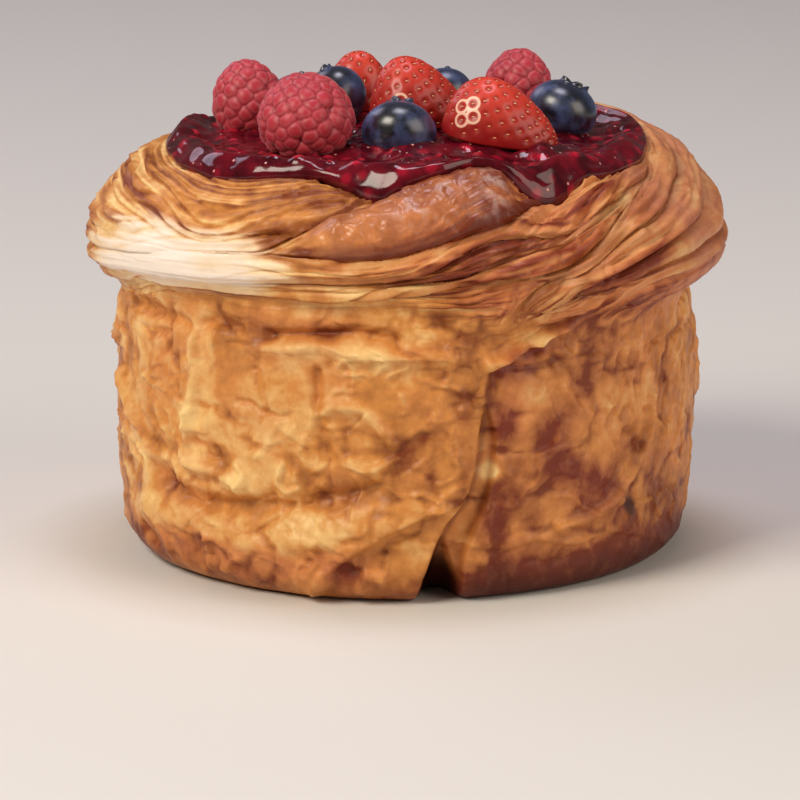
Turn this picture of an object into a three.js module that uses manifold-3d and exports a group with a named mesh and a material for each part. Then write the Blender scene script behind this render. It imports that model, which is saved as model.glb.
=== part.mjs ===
// A berry cream cheese roll: one coiled roll of laminated pastry with a compote
// and fresh berries on top. Millimetres, +Z up, front towards -Y.
// An azimuth is an angle in degrees about Z, 0 at the front and growing towards +X.
import * as THREE from 'three';
import { mergeVertices } from 'three/addons/utils/BufferGeometryUtils.js';
import Module from 'manifold-3d';

const wasm = await Module();
wasm.setup();

// ---- Driving sizes ----
const WALL_R = 50.2; // upright wall, at mid height
const FOOT_FLAT_R = 43.5; // flat underside
const FOOT_ROUND = 6; // rounding from the underside up to the wall
const CRIMP_Z = 40; // height where the wall gives way to the crown
const JAM_R = 41.5; // inner edge of the crown, where the compote starts
const SEAT_DROP = 5.5; // depth of the hollow that holds the compote
const COMPOTE_EDGE_Z = 70.8;
const COMPOTE_DOME = 2.4; // how much the compote rises from its edge to its middle
const GAP = 0.35; // clearance between neighbouring solids
const COMPOTE_TOLERANCE = 0.16; // how far the fitted compote's faces may be merged

// Keys of the crown round the azimuth: [azimuth, value].
const RIM_LOW_Z = [[-180, 48], [-135, 47.5], [-90, 46.5], [-60, 50.5], [-30, 52.3], [0, 52.5],
  [25, 50], [50, 47.5], [90, 47.5], [135, 48]];
const RIM_R = [[-180, 54.8], [-90, 56.9], [-45, 55.7], [0, 54.4], [45, 55.9], [90, 57.1], [135, 56]];
const CREST_Z = [[-180, 71.5], [-140, 69.8], [-90, 69.6], [-45, 69.6], [-24, 71], [-4, 68.2], [16, 71.4],
  [32, 68.2], [48, 69.6], [80, 69.8], [110, 71.5], [145, 72.8]];
// 1 where the wall runs straight into the strands of the crown, 0 where the crown overhangs it.
const FLARE = [[-180, 0.2], [-90, 0], [-20, 0], [5, 0.35], [20, 1], [55, 1], [85, 0.15], [135, 0.1]];

// The edges of the coiled strands: each is a line of [azimuth, climb], where the climb goes
// from 0 at the crimp to 1 at the crest. Azimuths past 180 go on round the back.
// The strand above an edge lies on top; from the azimuth "flip" on it is the strand below.
const EDGES = [
  { depth: 2.2, line: [[16, 0.05], [22, 0.39], [32, 0.59], [54, 0.74], [85, 0.89], [150, 1.02]] },
  { depth: 2, line: [[22, 0.2], [36, 0.53], [64, 0.67], [94, 0.78], [180, 0.83], [277, 0.81],
    [312, 0.7], [330, 0.68], [347, 0.83], [353, 1]] },
  { depth: 2.4, line: [[26, 0.3], [36, 0.47], [50, 0.57], [81, 0.61], [180, 0.68], [270, 0.63],
    [331, 0.62], [344, 0.79], [353, 0.89], [360, 1]] },
  { depth: 2.4, flip: 310, line: [[16, 0], [34, 0.2], [46, 0.46], [60, 0.52], [135, 0.57], [282, 0.56],
    [339, 0.57], [362, 0.64], [388, 0.79], [406, 0.88], [440, 1.02]] },
  { depth: 1.8, line: [[52, 0.14], [70, 0.32], [110, 0.42], [180, 0.45], [320, 0.43], [341, 0.44],
    [355, 0.49], [377, 0.68], [404, 0.84], [440, 1.02]] },
  { depth: 2.2, line: [[70, 0.16], [100, 0.27], [180, 0.34], [284, 0.35], [340, 0.33], [359, 0.38],
    [380, 0.53], [410, 0.81], [440, 1]] },
];
const CROWN_LENGTH = 44; // way over the crown from the crimp to the crest
const EDGE_NEAR = 0.9; // how fast an edge rounds off on the side that lies on top
const EDGE_FAR = 3.2; // how fast the side beneath rises again
const FLIP_WIDTH = 12; // degrees over which the upper and the lower strand change places
const BULGE = { azimuth: -2, climb: 0.78, halfAngle: 26, halfClimb: 0.13, height: 1.6 };

// The seam of the wall: the left panel ends in a free edge and laps over the right panel.
// Both edges are lines of [height, azimuth].
const SEAM = [[0, 2], [8.4, 5], [13.6, 7.4], [17.7, 11], [23.6, 13.2], [37, 15.2], [42, 16]];
const RIGHT_EDGE = [[0, 11], [9, 11.8], [16.6, 15.6], [22, 17.4], [28.5, 18], [35.5, 16], [42, 16]];
const PANEL_DROP = 1.7; // the right panel lies this much deeper
const STRIP_DROP = 3.2; // and so does the strip in the open part of the seam
const STRIP_TOP = 38; // height where that strip has closed
const NOTCH = { azimuth: 6.8, halfAngle: 4.2, height: 13, depth: 5 };
const PANEL_END = 105; // azimuth where the right panel has come level again

// Folds of the wall: lines through [azimuth, height], with a rise and a width in mm.
// A ridge stands up (or, with a minus, sinks in) on both sides of its line, a ledge only above it.
const FOLDS = [
  { kind: 'ridge', rise: -1.2, width: 1.2,
    line: [[-66, 46.2], [-51, 45.6], [-46, 44.9], [-40, 46.8], [-34, 46.6]] },
  { kind: 'ridge', rise: -1.7, width: 1.5, line: [[-27, 45.6], [-20, 46.4], [-9, 46.9], [-2, 45.6]] },
  { kind: 'ridge', rise: 1, width: 1.6, line: [[-32, 43.4], [-18, 44.4], [-2, 43.6], [10, 43]] },
  { kind: 'ridge', rise: 1.3, width: 1.8, line: [[-45.4, 45], [-44.6, 36], [-46.8, 25.4]] },
  { kind: 'ridge', rise: 1.3, width: 2, line: [[-75, 32], [-69, 27], [-60, 21.4]] },
  { kind: 'ridge', rise: -1.1, width: 1.4, line: [[-17.3, 40.2], [-17, 33], [-14.8, 25.3]] },
  { kind: 'ridge', rise: 1.2, width: 1.5, line: [[-17.4, 32.8], [-13.8, 34.7], [-8, 34.1], [-3.2, 29.1]] },
  { kind: 'ridge', rise: 1.5, width: 1.6, line: [[-47, 21.6], [-40, 21.2], [-33.4, 19.6]] },
  { kind: 'ridge', rise: -1.5, width: 2,
    line: [[-57, 17.6], [-47, 15], [-38, 14.8], [-20, 17.2], [-6, 20.4]] },
  { kind: 'ridge', rise: 1.4, width: 3, line: [[-62, 12], [-46, 10.5], [-28, 9.5], [-18, 12], [-4, 15.6]] },
  { kind: 'ledge', rise: 1.5, width: 2, line: [[-17.8, 3], [-10.8, 8.3], [-3.2, 12.8], [5, 16]] },
  { kind: 'ridge', rise: -1.6, width: 1.4, line: [[-67, 6.4], [-61, 5.4]] },
  { kind: 'ridge', rise: 1.4, width: 1.6, line: [[16, 41.5], [24, 43.2], [35, 48.6], [45, 50.1]] },
  { kind: 'ridge', rise: 0.9, width: 1.5, line: [[26, 44], [34, 41.2], [42, 39.6], [54, 42]] },
  { kind: 'ledge', rise: 1.2, width: 2, line: [[11.5, 10.6], [30, 9.6], [48, 8], [66, 3]] },
  { kind: 'ridge', rise: 1.1, width: 1.4, line: [[32, 11.7], [40, 12.7], [46, 15], [55.4, 21.3], [62, 31]] },
  { kind: 'ledge', rise: 1.3, width: 2, line: [[95, 26], [130, 31], [165, 28], [200, 33]] },
  { kind: 'ridge', rise: 1.3, width: 2.6, line: [[120, 10], [128, 19], [146, 25]] },
  { kind: 'ridge', rise: 1.2, width: 2.6, line: [[180, 8], [205, 16], [240, 14]] },
  { kind: 'ledge', rise: 1.4, width: 2, line: [[215, 27], [245, 33], [278, 36]] },
];

// ---- Small helpers ----
const { clamp, degToRad, smoothstep } = THREE.MathUtils;

/** Value at x on the smooth curve through [x, value] keys; outside the keys the end value. */
function curveAt(keys, x) {
  const last = keys.length - 1;
  if (x <= keys[0][0]) return keys[0][1];
  if (x >= keys[last][0]) return keys[last][1];
  let i = 0;
  while (keys[i + 1][0] < x) i += 1;
  const slope = (a, b) => (keys[b][1] - keys[a][1]) / (keys[b][0] - keys[a][0]);
  const step = keys[i + 1][0] - keys[i][0];
  const u = (x - keys[i][0]) / step;
  const start = slope(Math.max(i - 1, 0), i + 1) * step;
  const end = slope(i, Math.min(i + 2, last)) * step;
  const rise = u * u * (3 - 2 * u);
  return keys[i][1] * (1 - rise) + keys[i + 1][1] * rise
    + start * u * (1 - u) ** 2 - end * u * u * (1 - u);
}

/** The same for keys that close round the azimuth. */
function roundAt(keys, azimuth) {
  const before = keys.slice(-2).map(([a, v]) => [a - 360, v]);
  const after = keys.slice(0, 3).map(([a, v]) => [a + 360, v]);
  const first = keys[0][0];
  const turned = ((((azimuth - first) % 360) + 360) % 360) + first;
  return curveAt([...before, ...keys, ...after], turned);
}

/** Catmull-Rom point at u (0..1) of a chain of [r, z] points. */
function chainAt(chain, u) {
  const spans = chain.length - 1;
  const s = clamp(u, 0, 1) * spans;
  const i = Math.min(Math.floor(s), spans - 1);
  const f = s - i;
  const pick = (k) => chain[clamp(k, 0, spans)];
  const [a, b, c, d] = [pick(i - 1), pick(i), pick(i + 1), pick(i + 2)];
  return [0, 1].map((n) => 0.5 * (2 * b[n] + (c[n] - a[n]) * f
    + (2 * a[n] - 5 * b[n] + 4 * c[n] - d[n]) * f * f
    + (3 * b[n] - a[n] - 3 * c[n] + d[n]) * f * f * f));
}

/** Smooth pseudo-random waves, about -1..1, along a direction that turns with each octave. */
function waves(x, y, seed) {
  let sum = 0;
  for (let k = 1; k <= 4; k += 1) {
    const turn = seed * 1.7 + k * 2.4;
    sum += Math.sin(k * (x * Math.cos(turn) + y * Math.sin(turn)) + seed * 5.1 + k) / k;
  }
  return sum / 2;
}

// ---- Pastry: one closed skin of rings, from the middle of the foot to the middle of the seat ----
// A station along the profile: 0..1 foot, 1..2 wall, 2..3 crown, 3..4 seat.

function footPoint(u) {
  const flatShare = 0.6;
  if (u < flatShare) return [FOOT_FLAT_R * (u / flatShare), 0];
  const angle = ((u - flatShare) / (1 - flatShare)) * Math.PI / 2;
  return [FOOT_FLAT_R + FOOT_ROUND * Math.sin(angle), FOOT_ROUND * (1 - Math.cos(angle))];
}

function wallPoint(u) {
  const z = FOOT_ROUND + (CRIMP_Z - FOOT_ROUND) * u;
  const foot = FOOT_FLAT_R + FOOT_ROUND;
  return [foot + (WALL_R - foot) * Math.sin(u * Math.PI / 2) + 0.6 * Math.sin(u * Math.PI), z];
}

function crownChain(azimuth) {
  const low = roundAt(RIM_LOW_Z, azimuth);
  const flare = clamp(roundAt(FLARE, azimuth), 0, 1);
  const rim = roundAt(RIM_R, azimuth);
  const crest = roundAt(CREST_Z, azimuth);
  const tall = crest - low;
  return [
    [WALL_R, CRIMP_Z],
    [WALL_R + 0.1 + 0.3 * flare, CRIMP_Z + (low - CRIMP_Z) * 0.45],
    [WALL_R + 0.2 + 1.6 * flare, CRIMP_Z + (low - CRIMP_Z) * 0.85],
    [WALL_R + 2.4 + 0.7 * flare, low + 0.3 * flare - 0.1],
    [rim - 0.6, low + tall * 0.16],
    [rim, low + tall * 0.36],
    [rim - 2, low + tall * 0.6],
    [rim - 6, low + tall * 0.82],
    [rim - 10.5, low + tall * 0.955],
    [JAM_R + 0.8, crest],
  ];
}

function seatPoint(azimuth, u) {
  const crest = roundAt(CREST_Z, azimuth);
  const floor = COMPOTE_EDGE_Z - SEAT_DROP;
  return [(JAM_R + 0.8) * (1 - u), crest + (floor - crest) * smoothstep(u, 0, 0.22)];
}

function profilePoint(azimuth, station) {
  if (station <= 1) return footPoint(station);
  if (station <= 2) return wallPoint(station - 1);
  if (station <= 3) return chainAt(crownChain(azimuth), station - 2);
  return seatPoint(azimuth, station - 3);
}

/** How deep the pastry dips beside the edges of its strands, in mm. */
function strandDip(azimuth, climb) {
  let dip = 0;
  for (const edge of EDGES) {
    const first = edge.line[0][0];
    const end = edge.line[edge.line.length - 1][0];
    for (let turned = azimuth; turned <= end; turned += 360) {
      if (turned < first) continue;
      const above = (climb - curveAt(edge.line, turned)) * CROWN_LENGTH;
      const sides = above > 0 ? [EDGE_NEAR, EDGE_FAR] : [EDGE_FAR, EDGE_NEAR];
      const [upperOnTop, lowerOnTop] = sides.map((reach) => Math.exp(-Math.abs(above) / reach));
      const flipped = edge.flip ? smoothstep(turned, edge.flip - FLIP_WIDTH, edge.flip + FLIP_WIDTH) : 0;
      const weight = smoothstep(turned, first, first + 9) * edge.depth;
      dip = Math.max(dip, weight * (upperOnTop * (1 - flipped) + lowerOnTop * flipped));
    }
  }
  return dip;
}

/** Height of the smooth bulge in the front of the crown. */
function bulgeRise(azimuth, climb) {
  const x = (azimuth - BULGE.azimuth) / BULGE.halfAngle;
  const y = (climb - BULGE.climb) / BULGE.halfClimb;
  return BULGE.height * Math.exp(-(x ** 4) - y * y);
}

/** Signed distance in mm, in the unrolled wall, to a line through [azimuth, height] points. */
function wallDistance(line, azimuth, z) {
  const perDegree = degToRad(WALL_R);
  let best = Infinity;
  for (let i = 0; i < line.length - 1; i += 1) {
    const dx = (line[i + 1][0] - line[i][0]) * perDegree;
    const dz = line[i + 1][1] - line[i][1];
    const px = (azimuth - line[i][0]) * perDegree;
    const pz = z - line[i][1];
    const along = clamp((px * dx + pz * dz) / (dx * dx + dz * dz), 0, 1);
    const distance = Math.hypot(px - along * dx, pz - along * dz);
    if (distance < Math.abs(best)) {
      const side = dx * pz - dz * px;
      best = side < 0 ? -distance : distance;
    }
  }
  return best;
}

function foldRise(fold, azimuth, z) {
  const middle = (fold.line[0][0] + fold.line[fold.line.length - 1][0]) / 2;
  const near = azimuth + 360 * Math.round((middle - azimuth) / 360);
  const d = wallDistance(fold.line, near, z) / fold.width;
  if (fold.kind === 'ridge') return fold.rise * Math.exp(-d * d);
  return d > 0 ? fold.rise * Math.exp(-d * 0.6) * smoothstep(d, 0, 0.5) : 0;
}

/** How far the right panel and the open seam lie beneath the left panel, in mm. */
function seamDip(azimuth, climb, z) {
  const perDegree = degToRad(WALL_R);
  const pastSeam = (azimuth - curveAt(SEAM, z)) * perDegree;
  if (pastSeam < -4 || azimuth > PANEL_END) return 0;
  const topEdge = curveAt(EDGES[3].line, azimuth);
  const belowTop = (Math.max(topEdge, 0.001) - climb) * CROWN_LENGTH;
  const panel = smoothstep(pastSeam, -0.8, 0.8) * smoothstep(belowTop, -0.8, 0.8);
  const levelling = 1 - smoothstep(azimuth, 55, PANEL_END);
  const beforeRight = (curveAt(RIGHT_EDGE, z) - azimuth) * perDegree;
  const open = smoothstep(beforeRight, -0.8, 0.8) * (1 - smoothstep(z, STRIP_TOP - 8, STRIP_TOP));
  const strip = smoothstep(pastSeam, -0.8, 0.8) * open;
  const lip = Math.exp(-((pastSeam - 0.6) ** 2) / 2) * smoothstep(belowTop, -1, 2);
  return Math.max(panel * (PANEL_DROP * levelling + lip), strip * STRIP_DROP);
}

function notchDip(azimuth, z) {
  const side = (azimuth - NOTCH.azimuth) / (NOTCH.halfAngle * Math.max(1 - z / NOTCH.height, 0.05));
  return NOTCH.depth * Math.exp(-side * side) * (1 - smoothstep(z, 0, NOTCH.height));
}

/** Height of the skin over its plain profile, in mm. */
function relief(azimuth, station, z) {
  const onFoot = smoothstep(station, 0.62, 1);
  const overhang = roundAt(RIM_LOW_Z, azimuth);
  const onWall = 1 - smoothstep(z, overhang - 3, overhang);
  const climb = clamp(station - 2, 0, 1);
  const onSeat = smoothstep(station, 3, 3.08);
  const angle = degToRad(azimuth);
  const lumps = 0.5 * waves(4 * Math.cos(angle), 4 * Math.sin(angle) + z / 9, 3);
  const folds = FOLDS.reduce((sum, fold) => sum + foldRise(fold, azimuth, z), 0);
  const wall = (folds + lumps) * onWall - seamDip(azimuth, climb, z);
  const strands = station >= 2 ? bulgeRise(azimuth, climb) - strandDip(azimuth, climb) : 0;
  return onFoot * (wall + strands) * (1 - onSeat);
}

/** Point of the pastry's skin, raised by extra mm. */
function pastryPoint(azimuth, station, extra = 0) {
  const [r, z] = profilePoint(azimuth, station);
  const step = 0.004;
  const [r0, z0] = profilePoint(azimuth, Math.max(station - step, 0));
  const [r1, z1] = profilePoint(azimuth, Math.min(station + step, 4));
  const length = Math.hypot(r1 - r0, z1 - z0);
  const out = relief(azimuth, station, z) + extra;
  const notch = station < FOOT_STATIONS[0] ? 0 : notchDip(azimuth, z);
  const radius = Math.max(r + ((z1 - z0) / length) * out - notch, 0);
  const height = z - ((r1 - r0) / length) * out;
  const angle = degToRad(azimuth);
  return [radius * Math.sin(angle), -radius * Math.cos(angle), height];
}

/** Azimuths of the columns, closer together at the front, where the seam is. */
function columnAzimuths() {
  const list = [];
  for (let a = -180; a < 180; a += a >= -34 && a < 62 ? 3 : 4.5) list.push(a);
  return list;
}

const FOOT_STATIONS = [0.6, 0.75, 0.88];
const WALL_RINGS = 11;
const CROWN_RINGS = 20;
const SEAT_STATIONS = [3.06, 3.12, 3.2, 3.45, 3.75];

function ringStations() {
  const wall = Array.from({ length: WALL_RINGS }, (_, i) => 1 + i / WALL_RINGS);
  const crown = Array.from({ length: CROWN_RINGS + 1 }, (_, i) => 2 + i / CROWN_RINGS);
  return [...FOOT_STATIONS, ...wall, ...crown, ...SEAT_STATIONS];
}

/** Closed geometry from rings of points, with a cap point at each end. Each four-sided face is
 * cut along its shorter diagonal, which follows the ridges that run across the rings. */
function skinOf(rings, first, last) {
  const points = [first, ...rings.flat(), last];
  const width = rings[0].length;
  const faces = [];
  const apart = (p, q) => Math.hypot(...points[p].map((value, k) => value - points[q][k]));
  for (let j = 0; j < width; j += 1) {
    const next = (j + 1) % width;
    faces.push(0, 1 + next, 1 + j);
    for (let i = 0; i < rings.length - 1; i += 1) {
      const a = 1 + i * width;
      const b = a + width;
      const [p, q, r, s] = [a + j, a + next, b + next, b + j];
      if (apart(p, r) <= apart(q, s)) faces.push(p, q, r, p, r, s);
      else faces.push(p, q, s, q, r, s);
    }
    const top = 1 + (rings.length - 1) * width;
    faces.push(top + j, top + next, points.length - 1);
  }
  const geometry = new THREE.BufferGeometry();
  geometry.setAttribute('position', new THREE.Float32BufferAttribute(points.flat(), 3));
  geometry.setIndex(faces);
  return geometry;
}

function pastryGeometry(extra = 0) {
  const columns = columnAzimuths();
  const rings = ringStations().map((station) => columns.map((a) => pastryPoint(a, station, extra)));
  const seat = profilePoint(0, 4)[1];
  return skinOf(rings, [0, 0, -extra], [0, 0, seat + extra]);
}

// ---- Solids from manifold-3d ----

function solidOf(geometry) {
  const plain = geometry.clone();
  plain.deleteAttribute('normal');
  plain.deleteAttribute('uv');
  const merged = mergeVertices(plain, 1e-4);
  return new wasm.Manifold(new wasm.Mesh({
    numProp: 3,
    vertProperties: new Float32Array(merged.attributes.position.array),
    triVerts: new Uint32Array(merged.index.array),
  }));
}

function geometryOf(solid) {
  const mesh = solid.getMesh();
  const geometry = new THREE.BufferGeometry();
  geometry.setAttribute('position', new THREE.BufferAttribute(mesh.vertProperties, mesh.numProp));
  geometry.setIndex(new THREE.BufferAttribute(mesh.triVerts, 1));
  return geometry;
}

function largest(solid) {
  return solid.decompose().reduce((a, b) => (a.volume() > b.volume() ? a : b));
}

// ---- Berries ----
// A place is [x, y, z] of the berry's middle; the first word of a name is the kind of berry.

/** Closed round body from a radius rule over turn (0..1 round) and rise (0 bottom..1 top). */
function roundBody(columns, rings, pointAt) {
  const rows = [];
  for (let i = 1; i < rings; i += 1) {
    rows.push(Array.from({ length: columns }, (_, j) => pointAt((j + 0.5 * (i % 2)) / columns, i / rings)));
  }
  return skinOf(rows, pointAt(0, 0), pointAt(0, 1));
}

const DRUPELETS_ROUND = 9;
const DRUPELET_ROWS = 6;

function raspberryGeometry(width, height, grow = 0) {
  return roundBody(DRUPELETS_ROUND * 2, DRUPELET_ROWS * 2, (turn, rise) => {
    const tilt = Math.PI * rise;
    const bead = Math.cos(Math.PI * 2 * (turn * DRUPELETS_ROUND)) * Math.sin(tilt);
    const full = Math.sin(tilt) ** 0.8 * (1.06 - 0.22 * rise);
    const radius = (width / 2 - 0.3 + 0.4 * bead + grow) * full;
    const angle = turn * 2 * Math.PI;
    return [Math.cos(angle) * radius, Math.sin(angle) * radius, -Math.cos(tilt) * (height / 2 + grow)];
  });
}

function blueberryGeometry(width, height, grow = 0) {
  const calyx = grow ? 0 : 0.7;
  return roundBody(14, 9, (turn, rise) => {
    const tilt = Math.PI * rise;
    const angle = turn * 2 * Math.PI;
    const radius = (width / 2 + grow) * Math.sin(tilt);
    const cup = calyx * smoothstep(rise, 0.86, 1);
    return [Math.cos(angle) * radius, Math.sin(angle) * radius, -Math.cos(tilt) * (height / 2 + grow) - cup];
  });
}

/** Half a strawberry, cut face down, with its tip towards +X. */
function strawberryGeometry(length, width, height, grow = 0) {
  return roundBody(18, 12, (turn, rise) => {
    const tilt = Math.PI * rise;
    const angle = turn * 2 * Math.PI;
    const around = Math.sin(tilt);
    const taper = 1 - 0.28 * Math.cos(angle) * around;
    const x = Math.cos(angle) * around * (length / 2 + grow);
    const y = Math.sin(angle) * around * (width / 2 + grow) * taper;
    const up = -Math.cos(tilt);
    const dome = (height + grow) * (1 - 0.22 * Math.cos(angle) * around);
    return [x, y, up > 0 ? up * dome : up * (1.2 + grow)];
  });
}

const BERRIES = [
  { name: 'raspberry_front', place: [-17.2, -14.5, 77.6], size: [16.8, 14.8], lean: [8, -4, 0] },
  { name: 'raspberry_left', place: [-27.6, 6, 76.8], size: [12.8, 14], lean: [0, -8, 30] },
  { name: 'raspberry_right', place: [19.7, 18, 77], size: [12.4, 13.6], lean: [-4, 4, 60] },
  { name: 'blueberry_front', place: [-1.3, -14, 74.5], size: [12.8, 10.6], lean: [-30, 4, 0] },
  { name: 'blueberry_left', place: [-12.2, 7, 77.2], size: [10.6, 10.2], lean: [-20, -38, 0] },
  { name: 'blueberry_right', place: [27.3, 6.6, 74.9], size: [12.4, 9.8], lean: [-10, 24, 0] },
  { name: 'blueberry_behind', place: [6.9, 14.6, 76], size: [10, 9.2], lean: [-60, 0, 0] },
  { name: 'blueberry_between', place: [-19.8, 14.3, 75.2], size: [8.8, 8.8], lean: [-50, 20, 0] },
  { name: 'strawberry_middle', place: [2.3, 1, 73.6], size: [17.8, 13.6, 11], lean: [0, 0, 12] },
  { name: 'strawberry_front', place: [15.9, -12.4, 73.4], size: [20.4, 13.2, 9.4], lean: [4, 9, -6] },
  { name: 'strawberry_back', place: [-8.8, 19.8, 73.4], size: [12.6, 11.6, 9.4], lean: [0, 0, 100] },
];
const BERRY_SHAPES = {
  raspberry: raspberryGeometry,
  blueberry: blueberryGeometry,
  strawberry: strawberryGeometry,
};
const kindOf = (name) => name.split('_')[0];

function berryGeometry({ name, size, place, lean }, grow) {
  const geometry = BERRY_SHAPES[kindOf(name)](...size, grow);
  const turn = new THREE.Euler(...lean.map((angle) => degToRad(angle)));
  geometry.applyQuaternion(new THREE.Quaternion().setFromEuler(turn));
  geometry.translate(...place);
  return geometry;
}

// ---- Compote ----
// Where it runs over the crown's crest, and where (with a minus) a strand holds it back.
const DRIPS = [{ azimuth: -4, halfAngle: 7, reach: 3.4 }, { azimuth: 32, halfAngle: 7, reach: 3.6 },
  { azimuth: -23, halfAngle: 9, reach: -1.6 }, { azimuth: 16, halfAngle: 6, reach: -1.6 },
  { azimuth: -52, halfAngle: 14, reach: 1.6 }, { azimuth: 75, halfAngle: 22, reach: 1.6 },
  { azimuth: 165, halfAngle: 9, reach: 1.5 }];

function compoteEdge(azimuth) {
  const drips = DRIPS.reduce((sum, drip) => {
    const x = (azimuth - drip.azimuth) / drip.halfAngle;
    return sum + drip.reach * Math.exp(-x * x);
  }, 0);
  return JAM_R + 0.2 + drips + 0.35 * Math.sin(degToRad(azimuth) * 7 + 1);
}

function compoteTop(x, y) {
  const r = Math.hypot(x, y);
  const dome = COMPOTE_EDGE_Z + COMPOTE_DOME * (1 - (r / JAM_R) ** 2);
  return dome + 0.45 * waves(x / 3.2, y / 3.2, 1);
}

/** The compote before it is fitted: a thick round cake of it that reaches into the pastry. */
function compoteBlank() {
  const columns = 60;
  const rings = [0.25, 0.5, 0.72, 0.86, 0.94, 0.98, 1];
  const azimuths = Array.from({ length: columns }, (_, j) => -180 + (j * 360) / columns);
  const ring = (share, heightAt) => azimuths.map((azimuth) => {
    const r = compoteEdge(azimuth) * share;
    const x = r * Math.sin(degToRad(azimuth));
    const y = -r * Math.cos(degToRad(azimuth));
    return [x, y, heightAt(x, y)];
  });
  const bottom = COMPOTE_EDGE_Z - SEAT_DROP - 3;
  const sag = { 0.94: 0.15, 0.98: 0.8, 1: 2.1 };
  const top = rings.map((share) => ring(share, (x, y) => compoteTop(x, y) - (sag[share] ?? 0)));
  const under = [ring(0.5, () => bottom), ring(1, () => bottom)];
  return skinOf([...under, ...top.reverse()], [0, 0, bottom], [0, 0, compoteTop(0, 0)]);
}

function compoteGeometry() {
  const below = [pastryGeometry(), pastryGeometry(GAP / 2), pastryGeometry(GAP)].map(solidOf);
  below.push(below[0].translate([0, 0, GAP]));
  const fitted = below.reduce((rest, pastry) => rest.subtract(pastry), solidOf(compoteBlank()));
  const berries = BERRIES.map((berry) => solidOf(berryGeometry(berry, GAP)));
  const pitted = berries.reduce((rest, berry) => rest.subtract(berry), fitted);
  return geometryOf(largest(pitted).asOriginal().simplify(COMPOTE_TOLERANCE));
}

// ---- Materials and scene graph ----
const paint = (color, roughness) => new THREE.MeshStandardMaterial({ color, roughness, metalness: 0 });
const bakedPastry = paint('#c98a4b', 0.5);
const darkCompote = paint('#5e1220', 0.2);
const BERRY_SKINS = {
  raspberry: paint('#b3263a', 0.4),
  blueberry: paint('#2e3a5c', 0.45),
  strawberry: paint('#c8352c', 0.35),
};

function mesh(name, geometry, material) {
  geometry.computeVertexNormals();
  const made = new THREE.Mesh(geometry, material);
  made.name = name;
  return made;
}

const roll = new THREE.Group();
roll.add(mesh('pastry', pastryGeometry(), bakedPastry));
roll.add(mesh('compote', compoteGeometry(), darkCompote));
for (const berry of BERRIES) {
  roll.add(mesh(berry.name, berryGeometry(berry, 0), BERRY_SKINS[kindOf(berry.name)]));
}

export default roll;
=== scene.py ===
# %% [markdown]
# # A berry cream cheese roll
# This lesson dresses a imported CAD part, a tall coiled pastry with compote and berries, with fine
# meshes and materials. The CAD part gives the places and sizes, and everything here is fitted to
# it. Work starts by loading that part as a fixed frame.

# %% Load the imported part
import math
import bpy
import numpy as np
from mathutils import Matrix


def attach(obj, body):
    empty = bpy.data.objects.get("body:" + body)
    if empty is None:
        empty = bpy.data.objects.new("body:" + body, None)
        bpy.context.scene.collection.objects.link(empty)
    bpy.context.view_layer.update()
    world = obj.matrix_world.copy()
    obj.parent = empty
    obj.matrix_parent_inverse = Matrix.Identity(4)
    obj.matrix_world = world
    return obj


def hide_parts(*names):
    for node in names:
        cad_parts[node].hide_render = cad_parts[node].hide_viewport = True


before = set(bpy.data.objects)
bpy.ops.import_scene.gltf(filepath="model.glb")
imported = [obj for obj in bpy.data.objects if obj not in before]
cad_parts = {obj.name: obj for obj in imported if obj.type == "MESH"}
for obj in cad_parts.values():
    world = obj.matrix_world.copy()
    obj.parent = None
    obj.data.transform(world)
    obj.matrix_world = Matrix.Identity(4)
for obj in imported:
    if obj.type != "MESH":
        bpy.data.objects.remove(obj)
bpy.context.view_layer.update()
MM = 0.001
print("nodes of the part:", sorted(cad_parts))

# %% [markdown]
# ## Camera
# Food is often shot with a long lens from about a metre away, which keeps the upright wall
# upright. The camera here looks down by 13 degrees with a 248 mm lens on a 36 mm sensor, so that
# its picture frames the roll as the photograph does.

# %% Camera
PITCH = math.radians(13)
DISTANCE = 0.968
AIM = (-1.14 * MM, 0.0, 24.3 * MM)
lens = bpy.data.cameras.new("long_lens")
lens.lens = 248.3
lens.sensor_width = 36
camera = bpy.data.objects.new("camera", lens)
camera.location = (AIM[0], AIM[1] - DISTANCE * math.cos(PITCH), AIM[2] + DISTANCE * math.sin(PITCH))
camera.rotation_euler = (math.pi / 2 - PITCH, 0, 0)
bpy.context.scene.collection.objects.link(camera)
bpy.context.scene.camera = camera
print("camera at", [round(v, 3) for v in camera.location])

# %% [markdown]
# ## Helpers for smooth rules
# The roll is made from rules, not from a scan: a few keys say how a size changes round the roll,
# and a smooth curve runs through them. numpy works out such a rule for all points at once, which
# keeps a mesh of a few hundred thousand points quick to build.

# %% Smooth curves through keys
def smoothstep(x, low, high):
    u = np.clip((x - low) / (high - low), 0, 1)
    return u * u * (3 - 2 * u)


def curve_at(keys, x):
    """Values at x of the smooth curve through [x, value] keys; past the ends, the end values."""
    at, value = np.array(keys, float).T
    last = len(at) - 1
    x = np.clip(x, at[0], at[-1])
    i = np.clip(np.searchsorted(at, x, side="right") - 1, 0, last - 1)
    step = at[i + 1] - at[i]
    u = (x - at[i]) / step
    before, after = np.maximum(i - 1, 0), np.minimum(i + 2, last)
    start = (value[i + 1] - value[before]) / (at[i + 1] - at[before]) * step
    end = (value[after] - value[i]) / (at[after] - at[i]) * step
    rise = u * u * (3 - 2 * u)
    bend = start * u * (1 - u) ** 2 - end * u * u * (1 - u)
    return value[i] * (1 - rise) + value[i + 1] * rise + bend


def round_at(keys, azimuth):
    """The same for keys that close round the azimuth, in degrees."""
    turned = (azimuth - keys[0][0]) % 360 + keys[0][0]
    before = [[a - 360, v] for a, v in keys[-2:]]
    after = [[a + 360, v] for a, v in keys[:3]]
    return curve_at(before + keys + after, turned)


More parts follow.
